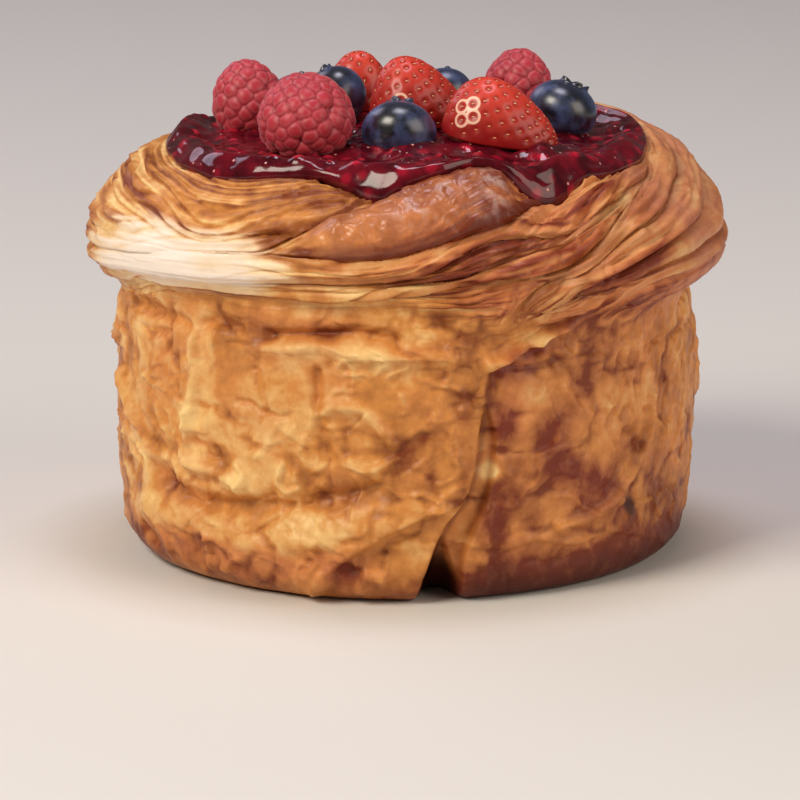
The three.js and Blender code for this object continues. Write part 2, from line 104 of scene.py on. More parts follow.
# %% [markdown]
# Nothing baked is even, so the rules also need noise. This noise fills a block with random
# numbers and blends between them, which gives soft lumps of one size. The block repeats, the
# seed is fixed, and so each run gives the same roll. Finer and weaker lumps on top make it rough,
# and the folds where it crosses zero make it look like crumpled paper.

# %% Soft noise in space
LATTICE = 32  # numbers along each side of the block
LATTICE_START = 0.37 * LATTICE  # an offset, so that the object's middle isn't a corner of the block


def noise(points, size, seed):
    """Soft lumps of about the given size, from -1 to 1, at points (..., 3) in the same unit."""
    block = np.random.default_rng(seed).uniform(-1, 1, (LATTICE,) * 3)
    scaled = np.asarray(points) / size + LATTICE_START
    low = np.floor(scaled).astype(int)
    f = scaled - low
    f = f * f * (3 - 2 * f)
    total = 0
    for corner in np.ndindex(2, 2, 2):
        index = tuple(((low[..., k] + corner[k]) % LATTICE) for k in range(3))
        weight = 1
        for k in range(3):
            weight = weight * (f[..., k] if corner[k] else 1 - f[..., k])
        total = total + block[index] * weight
    return total


def rough_noise(points, size, seed, octaves=3):
    """Noise with finer and weaker lumps on top, each layer half as large; from about -1 to 1."""
    layers = [noise(points, size / 2 ** k, seed + k) / 2 ** k for k in range(octaves)]
    return sum(layers) / 1.6


def crumpled(points, size, seed, octaves=3):
    """Skin like crumpled paper: 0 in sharp creases to 1 on cushions, at several sizes."""
    layers = [np.minimum(np.abs(noise(points, size / 2 ** k, seed + k)) * 2.4, 1) / 1.7 ** k
              for k in range(octaves)]
    return sum(layers) / sum(1 / 1.7 ** k for k in range(octaves))


# %% [markdown]
# Every large piece is a grid of points that closes round an axis: columns from bottom to top, rings
# round it. One helper joins the grid with quads, closes both ends with a fan of triangles, and
# keeps the maps of colour on the points, where a material can read them.

# %% Grids of points become meshes
def grid_mesh(name, points, attributes):
    """Closed mesh from points (columns, rings, 3) in mm, with a map for each named attribute."""
    columns, rings = points.shape[:2]
    vertices = points.reshape(-1, 3)
    j, i = np.meshgrid(np.arange(columns), np.arange(rings - 1), indexing="ij")
    right = (j + 1) % columns
    here, beside = j * rings + i, right * rings + i
    faces = np.stack([here, beside, beside + 1, here + 1], -1).reshape(-1, 4).tolist()
    first, last = len(vertices), len(vertices) + 1
    vertices = np.vstack([vertices, points[:, 0].mean(0), points[:, -1].mean(0)])
    for k in range(columns):
        n = (k + 1) % columns
        faces.append((n * rings, k * rings, first))
        faces.append((k * rings + rings - 1, n * rings + rings - 1, last))
    mesh = bpy.data.meshes.new(name)
    mesh.from_pydata((vertices * MM).tolist(), [], faces)
    mesh.shade_smooth()
    for key, values in attributes.items():
        flat = np.append(values.reshape(-1), [values[:, 0].mean(), values[:, -1].mean()])
        mesh.attributes.new(key, "FLOAT", "POINT").data.foreach_set("value", flat.astype(np.float32))
    piece = bpy.data.objects.new(name, mesh)
    bpy.context.scene.collection.objects.link(piece)
    print(name, "has", len(mesh.polygons), "faces")
    return piece


# %% [markdown]
# ## The pastry's plain form
# The roll is a body of turning: a flat foot, an upright wall that took its shape from a baking
# ring, a crown that rose over the ring's edge and hangs over the wall, and a hollow in the
# middle that holds the compote. A plain lathe can't do it, because the crown changes round the
# roll. So each column of the mesh gets its own profile, from keys round the azimuth. The
# azimuth is 0 at the front and grows towards the right.

# %% Sizes of the plain form, in mm
WALL_R = 50.2
PER_DEGREE = math.radians(WALL_R)  # mm round the wall for one degree
FOOT_FLAT_R = 43.5
FOOT_FLAT_SHARE = 0.6  # of the foot's stations, the rest goes round its edge
FOOT_ROUND = 6
CRIMP_Z = 40  # where the wall ends and the crown starts to lean out
JAM_R = 41.5
SEAT_R = JAM_R + 0.8  # the hollow for the compote starts here
SEAT_DROP = 5.5
SEAT_SLOPE = 0.22  # share of its radius over which the hollow falls
COMPOTE_EDGE_Z = 70.8
COMPOTE_DOME = 2.4
# heights and radii round the roll, as [azimuth, mm]; FLARE says how far the crown's foot leans out
RIM_LOW_Z = [[-180, 48], [-135, 47.5], [-90, 46.5], [-60, 50.5], [-30, 52.3], [0, 52.5],
             [25, 50], [50, 47.5], [90, 47.5], [135, 48]]
RIM_R = [[-180, 54.8], [-90, 56.9], [-45, 55.7], [0, 54.4], [45, 55.9], [90, 57.1], [135, 56]]
CREST_Z = [[-180, 71.5], [-140, 69.8], [-90, 69.6], [-45, 69.6], [-24, 71], [-4, 68.2], [16, 71.4],
           [32, 68.2], [48, 69.6], [80, 70], [110, 72.4], [145, 73.4]]
FLARE = [[-180, 0.2], [-90, 0], [-20, 0], [5, 0.35], [20, 1], [55, 1], [85, 0.15], [135, 0.1]]


# %% Profile of each column
def crown_chain(azimuth):
    """Points [r, z] up the crown, (columns, points, 2)."""
    low = round_at(RIM_LOW_Z, azimuth)
    flare = np.clip(round_at(FLARE, azimuth), 0, 1)
    rim = round_at(RIM_R, azimuth)
    crest = round_at(CREST_Z, azimuth)
    tall = crest - low
    level = np.ones_like(azimuth)
    radii = [WALL_R * level, WALL_R + 0.1 + 0.3 * flare, WALL_R + 0.2 + 1.6 * flare,
             WALL_R + 2.4 + 0.7 * flare, rim - 0.6, rim, rim - 2, rim - 6, rim - 10.5,
             SEAT_R * level]
    heights = [CRIMP_Z * level, CRIMP_Z + (low - CRIMP_Z) * 0.45, CRIMP_Z + (low - CRIMP_Z) * 0.85,
               low + 0.3 * flare - 0.1, low + tall * 0.16, low + tall * 0.36, low + tall * 0.6,
               low + tall * 0.82, low + tall * 0.955, crest]
    return np.stack([np.stack(radii, -1), np.stack(heights, -1)], -1)


def chain_at(chain, u):
    """Catmull-Rom points at u (0..1) of each chain, (columns, len(u), 2)."""
    spans = chain.shape[1] - 1
    s = np.clip(u, 0, 1) * spans
    i = np.minimum(s.astype(int), spans - 1)
    f = (s - i)[None, :, None]
    a, b, c, d = (chain[:, np.clip(i + k, 0, spans)] for k in (-1, 0, 1, 2))
    return 0.5 * (2 * b + (c - a) * f + (2 * a - 5 * b + 4 * c - d) * f ** 2
                  + (3 * b - a - 3 * c + d) * f ** 3)


def profile_grid(azimuth, station):
    """Plain form (columns, stations, 2); stations 0..1 foot, 1..2 wall, 2..3 crown, 3..4 seat."""
    plain = np.zeros((len(azimuth), len(station), 2))
    foot, seat = station <= 1, station > 3
    wall, crown = (station > 1) & (station <= 2), (station > 2) & (station <= 3)
    u = station[foot]
    angle = np.clip((u - FOOT_FLAT_SHARE) / (1 - FOOT_FLAT_SHARE), 0, 1) * math.pi / 2
    flat = np.minimum(u / FOOT_FLAT_SHARE, 1) * FOOT_FLAT_R
    plain[:, foot, 0] = flat + FOOT_ROUND * np.sin(angle)
    plain[:, foot, 1] = FOOT_ROUND * (1 - np.cos(angle))
    u = station[wall] - 1
    start = FOOT_FLAT_R + FOOT_ROUND
    plain[:, wall, 0] = start + (WALL_R - start) * np.sin(u * math.pi / 2) + 0.6 * np.sin(u * math.pi)
    plain[:, wall, 1] = FOOT_ROUND + (CRIMP_Z - FOOT_ROUND) * u
    plain[:, crown] = chain_at(crown_chain(azimuth), station[crown] - 2)
    u = station[seat][None] - 3
    crest = round_at(CREST_Z, azimuth)[:, None]
    plain[:, seat, 0] = SEAT_R * (1 - u)
    plain[:, seat, 1] = crest + (COMPOTE_EDGE_Z - SEAT_DROP - crest) * smoothstep(u, 0, SEAT_SLOPE)
    return plain


# %% [markdown]
# ## The coiled strands
# The dough was rolled up, stretched and coiled, so its cut edges climb round the crown like the
# thread of a screw until they slip under the compote. Each edge is a line of azimuth and climb,
# where the climb goes from 0 at the foot of the crown to 1 at its crest. Beside an edge the
# skin dips steeply on one side, where the upper strand ends, and rises slowly on the other.
# Azimuths past 180 degrees go on round the back.

# %% Edges of the strands
CROWN_LENGTH = 44  # mm from the foot of the crown to its crest, along the skin
EDGE_NEAR = 0.5  # mm over which the skin drops from a lip
EDGE_FAR = 3.2  # mm over which it rises again on the strand below
FLIP_WIDTH = 12
NO_FLIP = 999  # degrees, past the end of every edge
# depth in mm; "share" says how much of it there is along the way, as [azimuth, share]; the
# strand above an edge lies on top, past the azimuth "flip" the one below it
EDGES = [
    dict(depth=2.6, line=[[16, 0.05], [22, 0.39], [32, 0.59], [54, 0.74], [85, 0.89], [150, 1.02]]),
    dict(depth=2.3, share=[[200, 1], [285, 0.35], [322, 0.3], [336, 0.9]],
         line=[[22, 0.2], [36, 0.53], [64, 0.67], [94, 0.78], [180, 0.83], [277, 0.81],
               [312, 0.7], [330, 0.68], [347, 0.83], [353, 1]]),
    dict(depth=2.6, share=[[200, 1], [280, 0.5], [318, 0.35], [334, 1]],
         line=[[26, 0.3], [36, 0.47], [50, 0.57], [81, 0.61], [180, 0.68], [270, 0.63],
               [331, 0.62], [344, 0.79], [353, 0.89], [360, 1]]),
    dict(depth=2.6, flip=310,
         line=[[16, 0], [34, 0.2], [46, 0.46], [60, 0.52], [135, 0.57], [282, 0.56], [339, 0.57],
               [362, 0.64], [380, 0.75], [388, 0.86], [397, 0.97], [405, 1.03]]),
    dict(depth=2.1, line=[[52, 0.14], [70, 0.32], [110, 0.42], [180, 0.45], [320, 0.43], [341, 0.44],
                          [355, 0.49], [377, 0.68], [404, 0.84], [440, 1.02]]),
    dict(depth=2.5, line=[[70, 0.16], [100, 0.27], [180, 0.34], [284, 0.35], [340, 0.33], [359, 0.38],
                          [380, 0.53], [410, 0.81], [440, 1]]),
    dict(depth=1.7, flip=300, line=[[350, 0.4], [368, 0.47], [376, 0.56], [389, 0.69], [401, 0.77],
                                    [414, 0.84], [440, 0.97]]),
]
longest = max(edge["line"][-1][0] - edge["line"][0][0] for edge in EDGES)
print(len(EDGES), "edges, the longest goes round by", longest, "degrees")


# %% Distance to each edge
def edge_passes(azimuth, climb):
    """Passes of the edges: number, mm above, 1 if the upper strand is on top, share, strength."""
    for number, edge in enumerate(EDGES):
        first, end = edge["line"][0][0], edge["line"][-1][0]
        for turn in (0, 1):
            turned = azimuth % 360 + 360 * turn
            inside = (turned >= first) & (turned <= end)
            if inside.any():
                above = (climb[None] - curve_at(edge["line"], turned)[:, None]) * CROWN_LENGTH
                ahead, behind = (curve_at(edge["line"], turned + half) for half in (0.5, -0.5))
                steep = (ahead - behind) * CROWN_LENGTH / PER_DEGREE
                above = above / np.hypot(1, steep)[:, None]  # square to the line
                flip = edge.get("flip", NO_FLIP)
                upper = 1 - smoothstep(turned, flip - FLIP_WIDTH, flip + FLIP_WIDTH)
                share = curve_at(edge.get("share", [[0, 1], [1, 1]]), turned)
                strength = smoothstep(turned, first, first + 9) * (1 - smoothstep(turned, end - 12, end))
                yield number, above, upper, share, inside * strength


# %% [markdown]
# At an edge the dough shows its layers: thin sheets of pastry with butter between them, each
# ending a little further back than the one below. They are drawn as smaller edges that run
# beside each main edge, on the side that lies on top. Each comes and goes along the way, as
# flakes lift, break off or bake together.

# %% Relief beside one edge
LEAVES = 8
LEAF_SPACING = 0.95  # mm
LEAF_DEPTH = 0.8  # mm
LEAF_REACH = 5  # mm past which a leaf no longer counts
LIP_SLIDE = 0.45  # how far a lip slides over the dip beside it, as a share of the dip's depth


def edge_profile(distance, near, far):
    """1 at the edge, falling off over near mm where distance is positive, over far mm below."""
    return np.exp(-np.where(distance > 0, distance / near, -distance / far))


def edge_maps(distance, depth, number, ring):
    """Dip, leaves, slide, rim, and painted shade below the lip beside an edge; the strand on top is where
    distance > 0.
    """
    dip = depth * edge_profile(distance, EDGE_NEAR, EDGE_FAR)
    slide = -LIP_SLIDE * depth * np.exp(-np.abs(distance - 0.5) / 0.8) * (distance > -0.4)
    rim = np.exp(-np.abs(distance - 0.35) / 0.5)
    gap_shade = np.exp(-np.abs(distance + 0.8) / 0.9)
    leaves = np.zeros_like(distance)
    for leaf in range(1, LEAVES + 1):
        seed = 100 + 10 * number + leaf
        d = distance - leaf * LEAF_SPACING - 0.55 * noise(ring, 14, seed)[:, None]
        shown = smoothstep(noise(ring, 11, seed + 300), -0.45, 0.1)[:, None] * (1 - 0.08 * leaf)
        leaves += LEAF_DEPTH * shown * edge_profile(d, 0.2, 0.85) * (np.abs(d) < LEAF_REACH)
        rim = np.maximum(rim, 0.8 * shown * np.exp(-np.abs(d - 0.25) / 0.28))
    return np.stack([dip, leaves, slide, rim, gap_shade])


# %% [markdown]
# Dough that is rolled and stretched also gets a grain, like the grain of wood: fine streaks that
# run along each strand, and the ends of thin sheets, which lie one above another like shingles.
# Each edge brings streaks and sheets that are parallel to it, and the edge that is nearest counts
# most, so that the grain turns with the strands.

# %% Grain and sheets along an edge
SHEET = 1.9  # mm from the end of one thin sheet to the next
STREAK_LENGTH = 17  # mm
STREAKS = [(0.5, 1.5), (0.45, 0.75), (0.5, 0.42)]  # strength and width in mm of each kind of streak


def grain(distance, azimuth, seed, across):
    """Streaks along an edge, from their distance to it in mm; across is their width in mm."""
    turn_at = np.radians(azimuth)[:, None] + 0 * distance
    run = WALL_R / STREAK_LENGTH
    stretched = [run * np.sin(turn_at), run * np.cos(turn_at), distance / across]
    return noise(np.stack(stretched, -1), 1, seed)


def sheet_ends(distance, azimuth, seed):
    """Shingles along an edge: their height, 0 to 1, and 1 in the thin line under each."""
    bend = 1.5 * grain(distance, azimuth, seed, 7) + 0.5 * grain(distance, azimuth, seed + 3, 3)
    step = (distance / SHEET + bend) % 1
    shown = smoothstep(grain(distance, azimuth, seed + 7, 3), -0.45, 0.3)
    line = np.maximum(np.clip(2 * step - 1, 0, 1) ** 2.5, 1 - smoothstep(step, 0, 0.16))
    return (1 - step) * smoothstep(step, 0, 0.16) * shown, line * shown


# %% Relief of all strands
def strand_relief(azimuth, climb):
    """Maps over (columns, climbs): dip, leaves and slide in mm, edges, painted shade of gaps, grain,
    sheets, lines.
    """
    shape = (len(azimuth), len(climb))
    dip, leaves, slide, rim, gap_shade = (np.zeros(shape) for _ in range(5))
    streaks, sheets, lines, weights = (np.zeros(shape) for _ in range(4))
    angle = np.radians(azimuth)
    ring = np.stack([np.sin(angle), -np.cos(angle), np.zeros_like(angle)], -1) * WALL_R
    for number, above, upper, share, strength in edge_passes(azimuth, climb):
        above = above + 0.5 * noise(ring, 9, 40 + number)[:, None]
        depth, upper = EDGES[number]["depth"] * share[:, None], upper[:, None]
        maps = edge_maps(above, depth, number, ring) * upper
        if upper.min() < 1:
            below = edge_maps(-above, depth, number, ring) * (1 - upper)
            below[2] *= -1
            maps = maps + below
        maps = maps * strength[:, None]
        dip, rim, gap_shade = np.maximum(dip, maps[0]), np.maximum(rim, maps[3]), np.maximum(gap_shade, maps[4])
        leaves, slide = leaves + maps[1], slide + maps[2]
        weight = strength[:, None] * np.exp(-np.abs(above) / 1.1) + 1e-6
        fine = sum(strong * grain(above, azimuth, 500 + 20 * k + number, across)
                   for k, (strong, across) in enumerate(STREAKS))
        ends, under = sheet_ends(above, azimuth, 540 + number)
        streaks, weights = streaks + weight * fine, weights + weight
        sheets, lines = sheets + weight * ends, lines + weight * under
    streaks = streaks / weights
    streaks = 1.15 * np.sign(streaks) * np.abs(streaks) ** 0.75  # gives the streaks more contrast
    return dip, leaves, slide, rim, gap_shade, streaks, sheets / weights, lines / weights


# %% [markdown]
# ## The wall
# The left panel of dough laps over the right one and ends in a free edge, which runs down the
# front and opens into a notch at the foot. Where the dough was pressed to the ring, its skin
# folded: these folds are lines in the unrolled wall with a height and a width. A ridge stands
# up on both sides of its line, a ledge only above it.

# %% Seam and folds of the wall
# edges of the left panel and of the right panel, as [height, azimuth]
SEAM = [[0, 2], [8.4, 5], [13.6, 7.4], [17.7, 11], [23.6, 13.2], [37, 15.2], [42, 16]]
RIGHT_EDGE = [[0, 11], [9, 11.8], [16.6, 15.6], [22, 17.4], [28.5, 18], [35.5, 16], [42, 16]]
PANEL_DROP, STRIP_DROP = 1.7, 3.2  # how deep the right panel and the open strip lie, in mm
STRIP_TOP = 38
PANEL_END = 105  # azimuth where the right panel is level with the rest again
NOTCH = dict(azimuth=6.8, half_angle=4.2, height=13, depth=7.5)
# kind, rise in mm (with a minus it sinks in), width in mm, line of [azimuth, height]
FOLDS = [
    ("ridge", -1.2, 1.2, [[-66, 46.2], [-51, 45.6], [-46, 44.9], [-40, 46.8], [-34, 46.6]]),
    ("ridge", -1.2, 1.2, [[-27, 45.6], [-20, 46.4], [-9, 46.9], [-2, 45.6]]),
    ("ridge", 1, 1.4, [[-32, 43.4], [-18, 44.4], [-2, 43.6], [10, 43]]),
    ("ridge", 1.3, 1.3, [[-45.4, 45], [-44.6, 36], [-46.8, 25.4]]),
    ("ridge", 1.3, 1.6, [[-75, 32], [-69, 27], [-60, 21.4]]),
    ("ridge", -1.1, 1, [[-17.3, 40.2], [-17, 33], [-14.8, 25.3]]),
    ("ridge", 1.2, 1, [[-17.4, 32.8], [-13.8, 34.7], [-8, 34.1], [-3.2, 29.1]]),
    ("ridge", 1.5, 1.3, [[-47, 21.6], [-40, 21.2], [-33.4, 19.6]]),
    ("ridge", -1.5, 1.7, [[-57, 17.6], [-47, 15], [-38, 14.8], [-20, 17.2], [-6, 20.4]]),
    ("ridge", 1.4, 3, [[-62, 12], [-46, 10.5], [-28, 9.5], [-18, 12], [-4, 15.6]]),
    ("ledge", 1.7, 2, [[-17.8, 3], [-10.8, 8.3], [-3.2, 12.8], [5, 16]]),
    ("ridge", -1.6, 1.2, [[-67, 6.4], [-61, 5.4]]),
    ("ridge", 1.4, 1.3, [[16, 41.5], [24, 43.2], [35, 48.6], [45, 50.1]]),
    ("ridge", 0.9, 1.1, [[26, 44], [34, 41.2], [42, 39.6], [54, 42]]),
    ("ledge", 1, 1.6, [[11.5, 10], [19, 8.4], [27, 9.6], [36, 7.6], [45, 8.8], [54, 6.6], [66, 3]]),
    ("ridge", 1.5, 0.9, [[32, 11.7], [40, 12.7], [46, 15], [52.8, 19.5], [57, 24], [58.5, 31]]),
    ("ledge", 1.3, 2, [[95, 26], [130, 31], [165, 28], [200, 33]]),
    ("ridge", 1.3, 2.2, [[120, 10], [128, 19], [146, 25]]),
    ("ridge", 1.2, 2.2, [[180, 8], [205, 16], [240, 14]]),
    ("ledge", 1.4, 2, [[215, 27], [245, 33], [278, 36]]),
    # small curls and flaps that show on the front
    ("ridge", 0.9, 0.6, [[-24.6, 23.6], [-25.2, 20.8], [-23.4, 19.2], [-21, 20.2], [-21.4, 23]]),
    ("ridge", 0.9, 0.7, [[-34.4, 23], [-32.4, 21.4], [-33.6, 18.6]]),
    ("ledge", 0.7, 0.8, [[-10.8, 42.5], [3.4, 42.7]]),
    ("ridge", 0.8, 0.7, [[-10.8, 25.6], [-9, 23.9], [-6, 24], [-2, 26]]),
    ("ridge", 1.1, 0.9, [[-9.4, 3.1], [-7.6, 5.6], [-5, 5.2]]),
    ("ridge", 1.3, 1.1, [[-18.4, 2.2], [-16.4, 4.4]]),
]


def wall_distance(line, azimuth, z):
    """Signed mm to a line through [azimuth, height] points, for grids of azimuth and height."""
    best = np.full(np.broadcast(azimuth, z).shape, 1e9)
    for (a0, z0), (a1, z1) in zip(line, line[1:]):
        dx, dz = (a1 - a0) * PER_DEGREE, z1 - z0
        px, pz = (azimuth - a0) * PER_DEGREE, z - z0
        along = np.clip((px * dx + pz * dz) / (dx * dx + dz * dz), 0, 1)
        distance = np.hypot(px - along * dx, pz - along * dz)
        side = np.where(dx * pz - dz * px < 0, -1, 1)
        best = np.where(distance < np.abs(best), distance * side, best)
    return best


# %% Relief of one fold, of the seam and of the notch
def fold_rise(fold, azimuth, z):
    """Rise in mm of one fold, on the turn of the azimuth that is nearest to it."""
    kind, height, width, line = fold
    middle = (line[0][0] + line[-1][0]) / 2
    d = wall_distance(line, azimuth + 360 * np.round((middle - azimuth) / 360), z) / width
    if kind == "ridge":
        return height * np.exp(-d * d)
    return np.where(d > 0, height * np.exp(-np.abs(d) * 0.6) * smoothstep(d, 0, 0.5), 0)


def seam_maps(azimuth, climb, z):
    """Depth in mm under the left panel, the right panel, the open strip, mm past the seam."""
    past = (azimuth - curve_at(SEAM, z)) * PER_DEGREE
    near = (past > -4) & (azimuth < PANEL_END)
    below_top = (np.maximum(curve_at(EDGES[3]["line"], azimuth), 0.001) - climb) * CROWN_LENGTH
    panel = smoothstep(past, -0.8, 0.8) * smoothstep(below_top, -0.8, 0.8) * near
    levelling = 1 - smoothstep(azimuth, 55, PANEL_END)
    before_right = (curve_at(RIGHT_EDGE, z) - azimuth) * PER_DEGREE
    still_open = smoothstep(before_right, -0.8, 0.8) * (1 - smoothstep(z, STRIP_TOP - 8, STRIP_TOP))
    strip = smoothstep(past, -0.8, 0.8) * still_open * near
    lip = np.exp(-((past - 0.6) ** 2) / 2) * smoothstep(below_top, -1, 2)
    depth = np.maximum(panel * (PANEL_DROP * levelling + lip), strip * STRIP_DROP)
    return depth, panel * levelling, strip, past


def notch_dip(azimuth, z):
    """Depth in mm of the notch, which narrows from the foot up."""
    share = np.maximum(1 - z / NOTCH["height"], 0.05)
    side = (azimuth - NOTCH["azimuth"]) / (NOTCH["half_angle"] * share)
    return NOTCH["depth"] * np.exp(-side ** 4) * (1 - smoothstep(z, 0, NOTCH["height"]))


# %% [markdown]
# Between the drawn folds the skin is full of small creases, as on any dough that rose against
# metal. They are scattered by a seeded draw: short lines of all directions, most of them
# lying or slanting, each with a small height of its own.

# %% Small creases, scattered
CREASE_REACH = 12  # mm past which a crease no longer counts


def small_creases(count, seed):
    """Seeded short lines on the wall, in the form of FOLDS."""
    draw = np.random.default_rng(seed)
    creases = []
    for _ in range(count):
        azimuth, z = draw.uniform(-180, 180), draw.uniform(2, 50)
        heading, reach = draw.normal(0, 0.9), draw.uniform(3, 11)
        line = []
        for k in range(6):
            line.append([azimuth, z])
            azimuth += reach / 5 * math.cos(heading) / PER_DEGREE
            z += reach / 5 * math.sin(heading)
            heading += draw.normal(0, 0.55)
        kind = draw.choice(["ridge", "ridge", "ledge"])
        rise = draw.uniform(0.35, 0.85) * draw.choice([1, 1, -1])
        creases.append((kind, rise, draw.uniform(0.38, 0.75), line))
    return creases


CREASES = small_creases(620, 11)
print(len(FOLDS), "folds and", len(CREASES), "small creases")


def creases_rise(azimuth, z):
    """Sum of the small creases, each worked out only near its own line."""
    total = np.zeros_like(z)
    columns = azimuth[:, 0]
    for crease in CREASES:
        middle = crease[3][2][0]
        turned = columns + 360 * np.round((middle - columns) / 360)
        near = np.abs(turned - middle) * PER_DEGREE < CREASE_REACH
        if near.any():
            fade = np.clip(1 - np.abs(z[near] - crease[3][2][1]) / CREASE_REACH, 0, 1)
            total[near] += fold_rise(crease, turned[near][:, None], z[near]) * smoothstep(fade, 0, 0.4)
    return total


# %% [markdown]
# ## The whole skin
# One closed sheet of columns and rings carries everything. The plain form is raised along its
# own outward direction by the relief, and the lips of the strands also slide over the dips
# beside them, which gives real overhangs that a height alone can't give. Maps of what lies
# where, such as edges, gaps and the pale patch, are kept on the points for the material.

# %% Columns and rings
FINE_STEP, COARSE_STEP = 0.36, 0.7  # degrees from column to column
FINE_FROM, FINE_TO = -78, 108
WALL_RINGS, CROWN_RINGS = 100, 240


def column_azimuths():
    """Azimuths of the columns, closer together over the front, where edges run steeply."""
    fine = np.arange(FINE_FROM, FINE_TO, FINE_STEP)
    coarse = np.arange(FINE_TO, FINE_FROM + 360, COARSE_STEP)
    return np.concatenate([fine, coarse - 360 * (coarse > 180)])


def ring_stations():
    """Stations of the rings, closest together on the crown, where the fine layers are."""
    foot = [0.6, 0.68, 0.74, 0.79, 0.84, 0.88, 0.92, 0.96, 1]
    wall = 1 + np.arange(1, WALL_RINGS + 1) / WALL_RINGS
    crown = 2 + np.arange(1, CROWN_RINGS + 1) / CROWN_RINGS
    seat = 3 + np.array([0.01, 0.02, 0.035, 0.05, 0.07, 0.09, 0.12, 0.16, 0.2, 0.24, 0.5, 0.85])
    return np.concatenate([foot, wall, crown, seat])


AZIMUTH = column_azimuths()
STATION = ring_stations()
CLIMB = np.clip(STATION - 2, 0, 1)
plain = profile_grid(AZIMUTH, STATION)
print("pastry grid:", plain.shape[0], "columns by", plain.shape[1], "rings")

# %% [markdown]
# A thick smooth strand lies over the others in the front and bulges out between two edges. Its
# skin got the most egg wash and has small blisters. It comes up again after a full turn, so its
# edges are read past 360 degrees.

# %% The smooth strand in the front
def strand_line(number, azimuth):
    """Climb of an edge on its second way over the front, past 360 degrees."""
    return curve_at(EDGES[number]["line"], azimuth % 360 + 360 * (azimuth >= 0))


BULGE = dict(start=-21, full=-12, fade=20, end=26.5, height=2.8)
low_line = strand_line(3, AZIMUTH)
high_line = np.where(AZIMUTH > -1, 1.06, strand_line(2, AZIMUTH))  # its upper edge is under the compote
across = (CLIMB[None] - low_line[:, None]) / np.maximum(high_line - low_line, 0.02)[:, None]
comes = smoothstep(AZIMUTH, BULGE["start"], BULGE["full"])
goes = smoothstep(AZIMUTH, BULGE["fade"], BULGE["end"])
ends = (comes * (1 - goes))[:, None]
in_bulge = ends * np.clip(4 * across * (1 - across), 0, 1) ** 0.5
widest = (high_line - low_line)[np.abs(AZIMUTH) < 25].max() * CROWN_LENGTH
print("the smooth strand is up to", round(float(widest)), "mm wide")

# %% [markdown]
# Masks from 0 to 1 say where each kind of relief may go. The strands are calm round the back and
# frayed at the front right, where their cut ends come up. The layers lie flat in the middle of the
# pale patch. The back, which no picture shows, gets weaker creases than the front.

# %% Where on the skin each point is
PALE_PATCH = dict(azimuth=-50, climb=0.5, half_angle=29, half_climb=0.19)
az, st = AZIMUTH[:, None], STATION[None]
z_plain, r_plain = plain[..., 1], plain[..., 0]
angle = np.radians(az)
spot = np.stack([r_plain * np.sin(angle), -r_plain * np.cos(angle), z_plain], -1)

overhang = round_at(RIM_LOW_Z, AZIMUTH)[:, None]
on_foot = smoothstep(st, 0.62, 1)
on_wall = (1 - smoothstep(z_plain, overhang - 3, overhang)) * (st < 3)
above_wall = st >= 2
on_crown = above_wall * (1 - on_wall)
on_seat = smoothstep(st, 3, 3.08)
in_front = smoothstep(-np.abs(az - 5), -80, -55)
on_left = smoothstep(-np.abs(az + 50), -80, -40)
calm = 1 - smoothstep(az, -108, -78) * (1 - smoothstep(az, 44, 64))
frayed = smoothstep(az, -6, 14) * (1 - smoothstep(az, 46, 62))
smooth_there = 1 - in_bulge ** 0.7
pale_x = (az - PALE_PATCH["azimuth"]) / PALE_PATCH["half_angle"]
pale_y = (CLIMB[None] - PALE_PATCH["climb"]) / PALE_PATCH["half_climb"]
pale_off = np.sqrt(np.abs(pale_x) ** 2.6 + pale_y ** 2)  # 1 at the rim of the pale patch
by_patch = smoothstep(pale_off, 0.3, 1.1)

# %% Relief of the wall, in mm
folds = sum(fold_rise(fold, az, z_plain) for fold in FOLDS)
creases = creases_rise(np.broadcast_to(az, z_plain.shape), z_plain)
seam_depth, on_panel, on_strip, past_seam = seam_maps(az, CLIMB[None], z_plain)
broad = 0.5 * noise(spot, 16, 5)
cushions = crumpled(spot * [0.85, 0.85, 1.15], 8, 21, 3)
small_lumps = rough_noise(spot, 3.4, 27)
wall_relief = (1.15 * folds + (0.5 + 0.35 * in_front) * creases + broad
               + (0.55 + 0.25 * in_front) * (cushions - 0.6) + 0.12 * small_lumps)
wall_part = wall_relief * on_wall * (1 - 0.35 * on_panel) - seam_depth

# %% Relief of the crown, in mm
NUB = dict(azimuth=50, climb=0.715, radius=1.7, height=1.5)  # a torn bit of dough on an edge
dip, leaves, slide, rim, gap_shade, streaks, sheets, sheet_lines = strand_relief(AZIMUTH, CLIMB)
blisters = np.maximum(rough_noise(spot, 1.7, 51, 2) + 0.1, 0) ** 0.7 * in_bulge * above_wall
nub_off = np.hypot((az - NUB["azimuth"]) * PER_DEGREE, (CLIMB[None] - NUB["climb"]) * CROWN_LENGTH)
nub = NUB["height"] * np.exp(-(nub_off / NUB["radius"]) ** 2) * above_wall
layered = (0.6 + 0.4 * on_left) * smooth_there * (0.3 + 0.7 * by_patch) * (1 - 0.6 * calm) * on_crown
streaked = (0.36 + 0.5 * frayed) * smooth_there * (1 - 0.5 * calm) * (0.6 + 0.4 * by_patch) * on_crown
crown_part = (in_bulge * BULGE["height"] - dip * (0.5 + 0.5 * by_patch) * (1 - 0.25 * frayed)
              - leaves * (1 - 0.55 * calm) * (1 - 0.4 * on_left) * (1 + 0.5 * frayed) * by_patch
              + 0.35 * broad + streaked * streaks + 0.85 * (sheets - 0.4) * layered
              + 0.16 * small_lumps + 0.7 * blisters + nub) * above_wall

# %% Relief of the whole skin
fine = 0.1 * rough_noise(spot, 1.6, 31)
rise = on_foot * (wall_part + crown_part + fine) * (1 - on_seat)
print("relief from", round(float(rise.min()), 1), "to", round(float(rise.max()), 1), "mm")

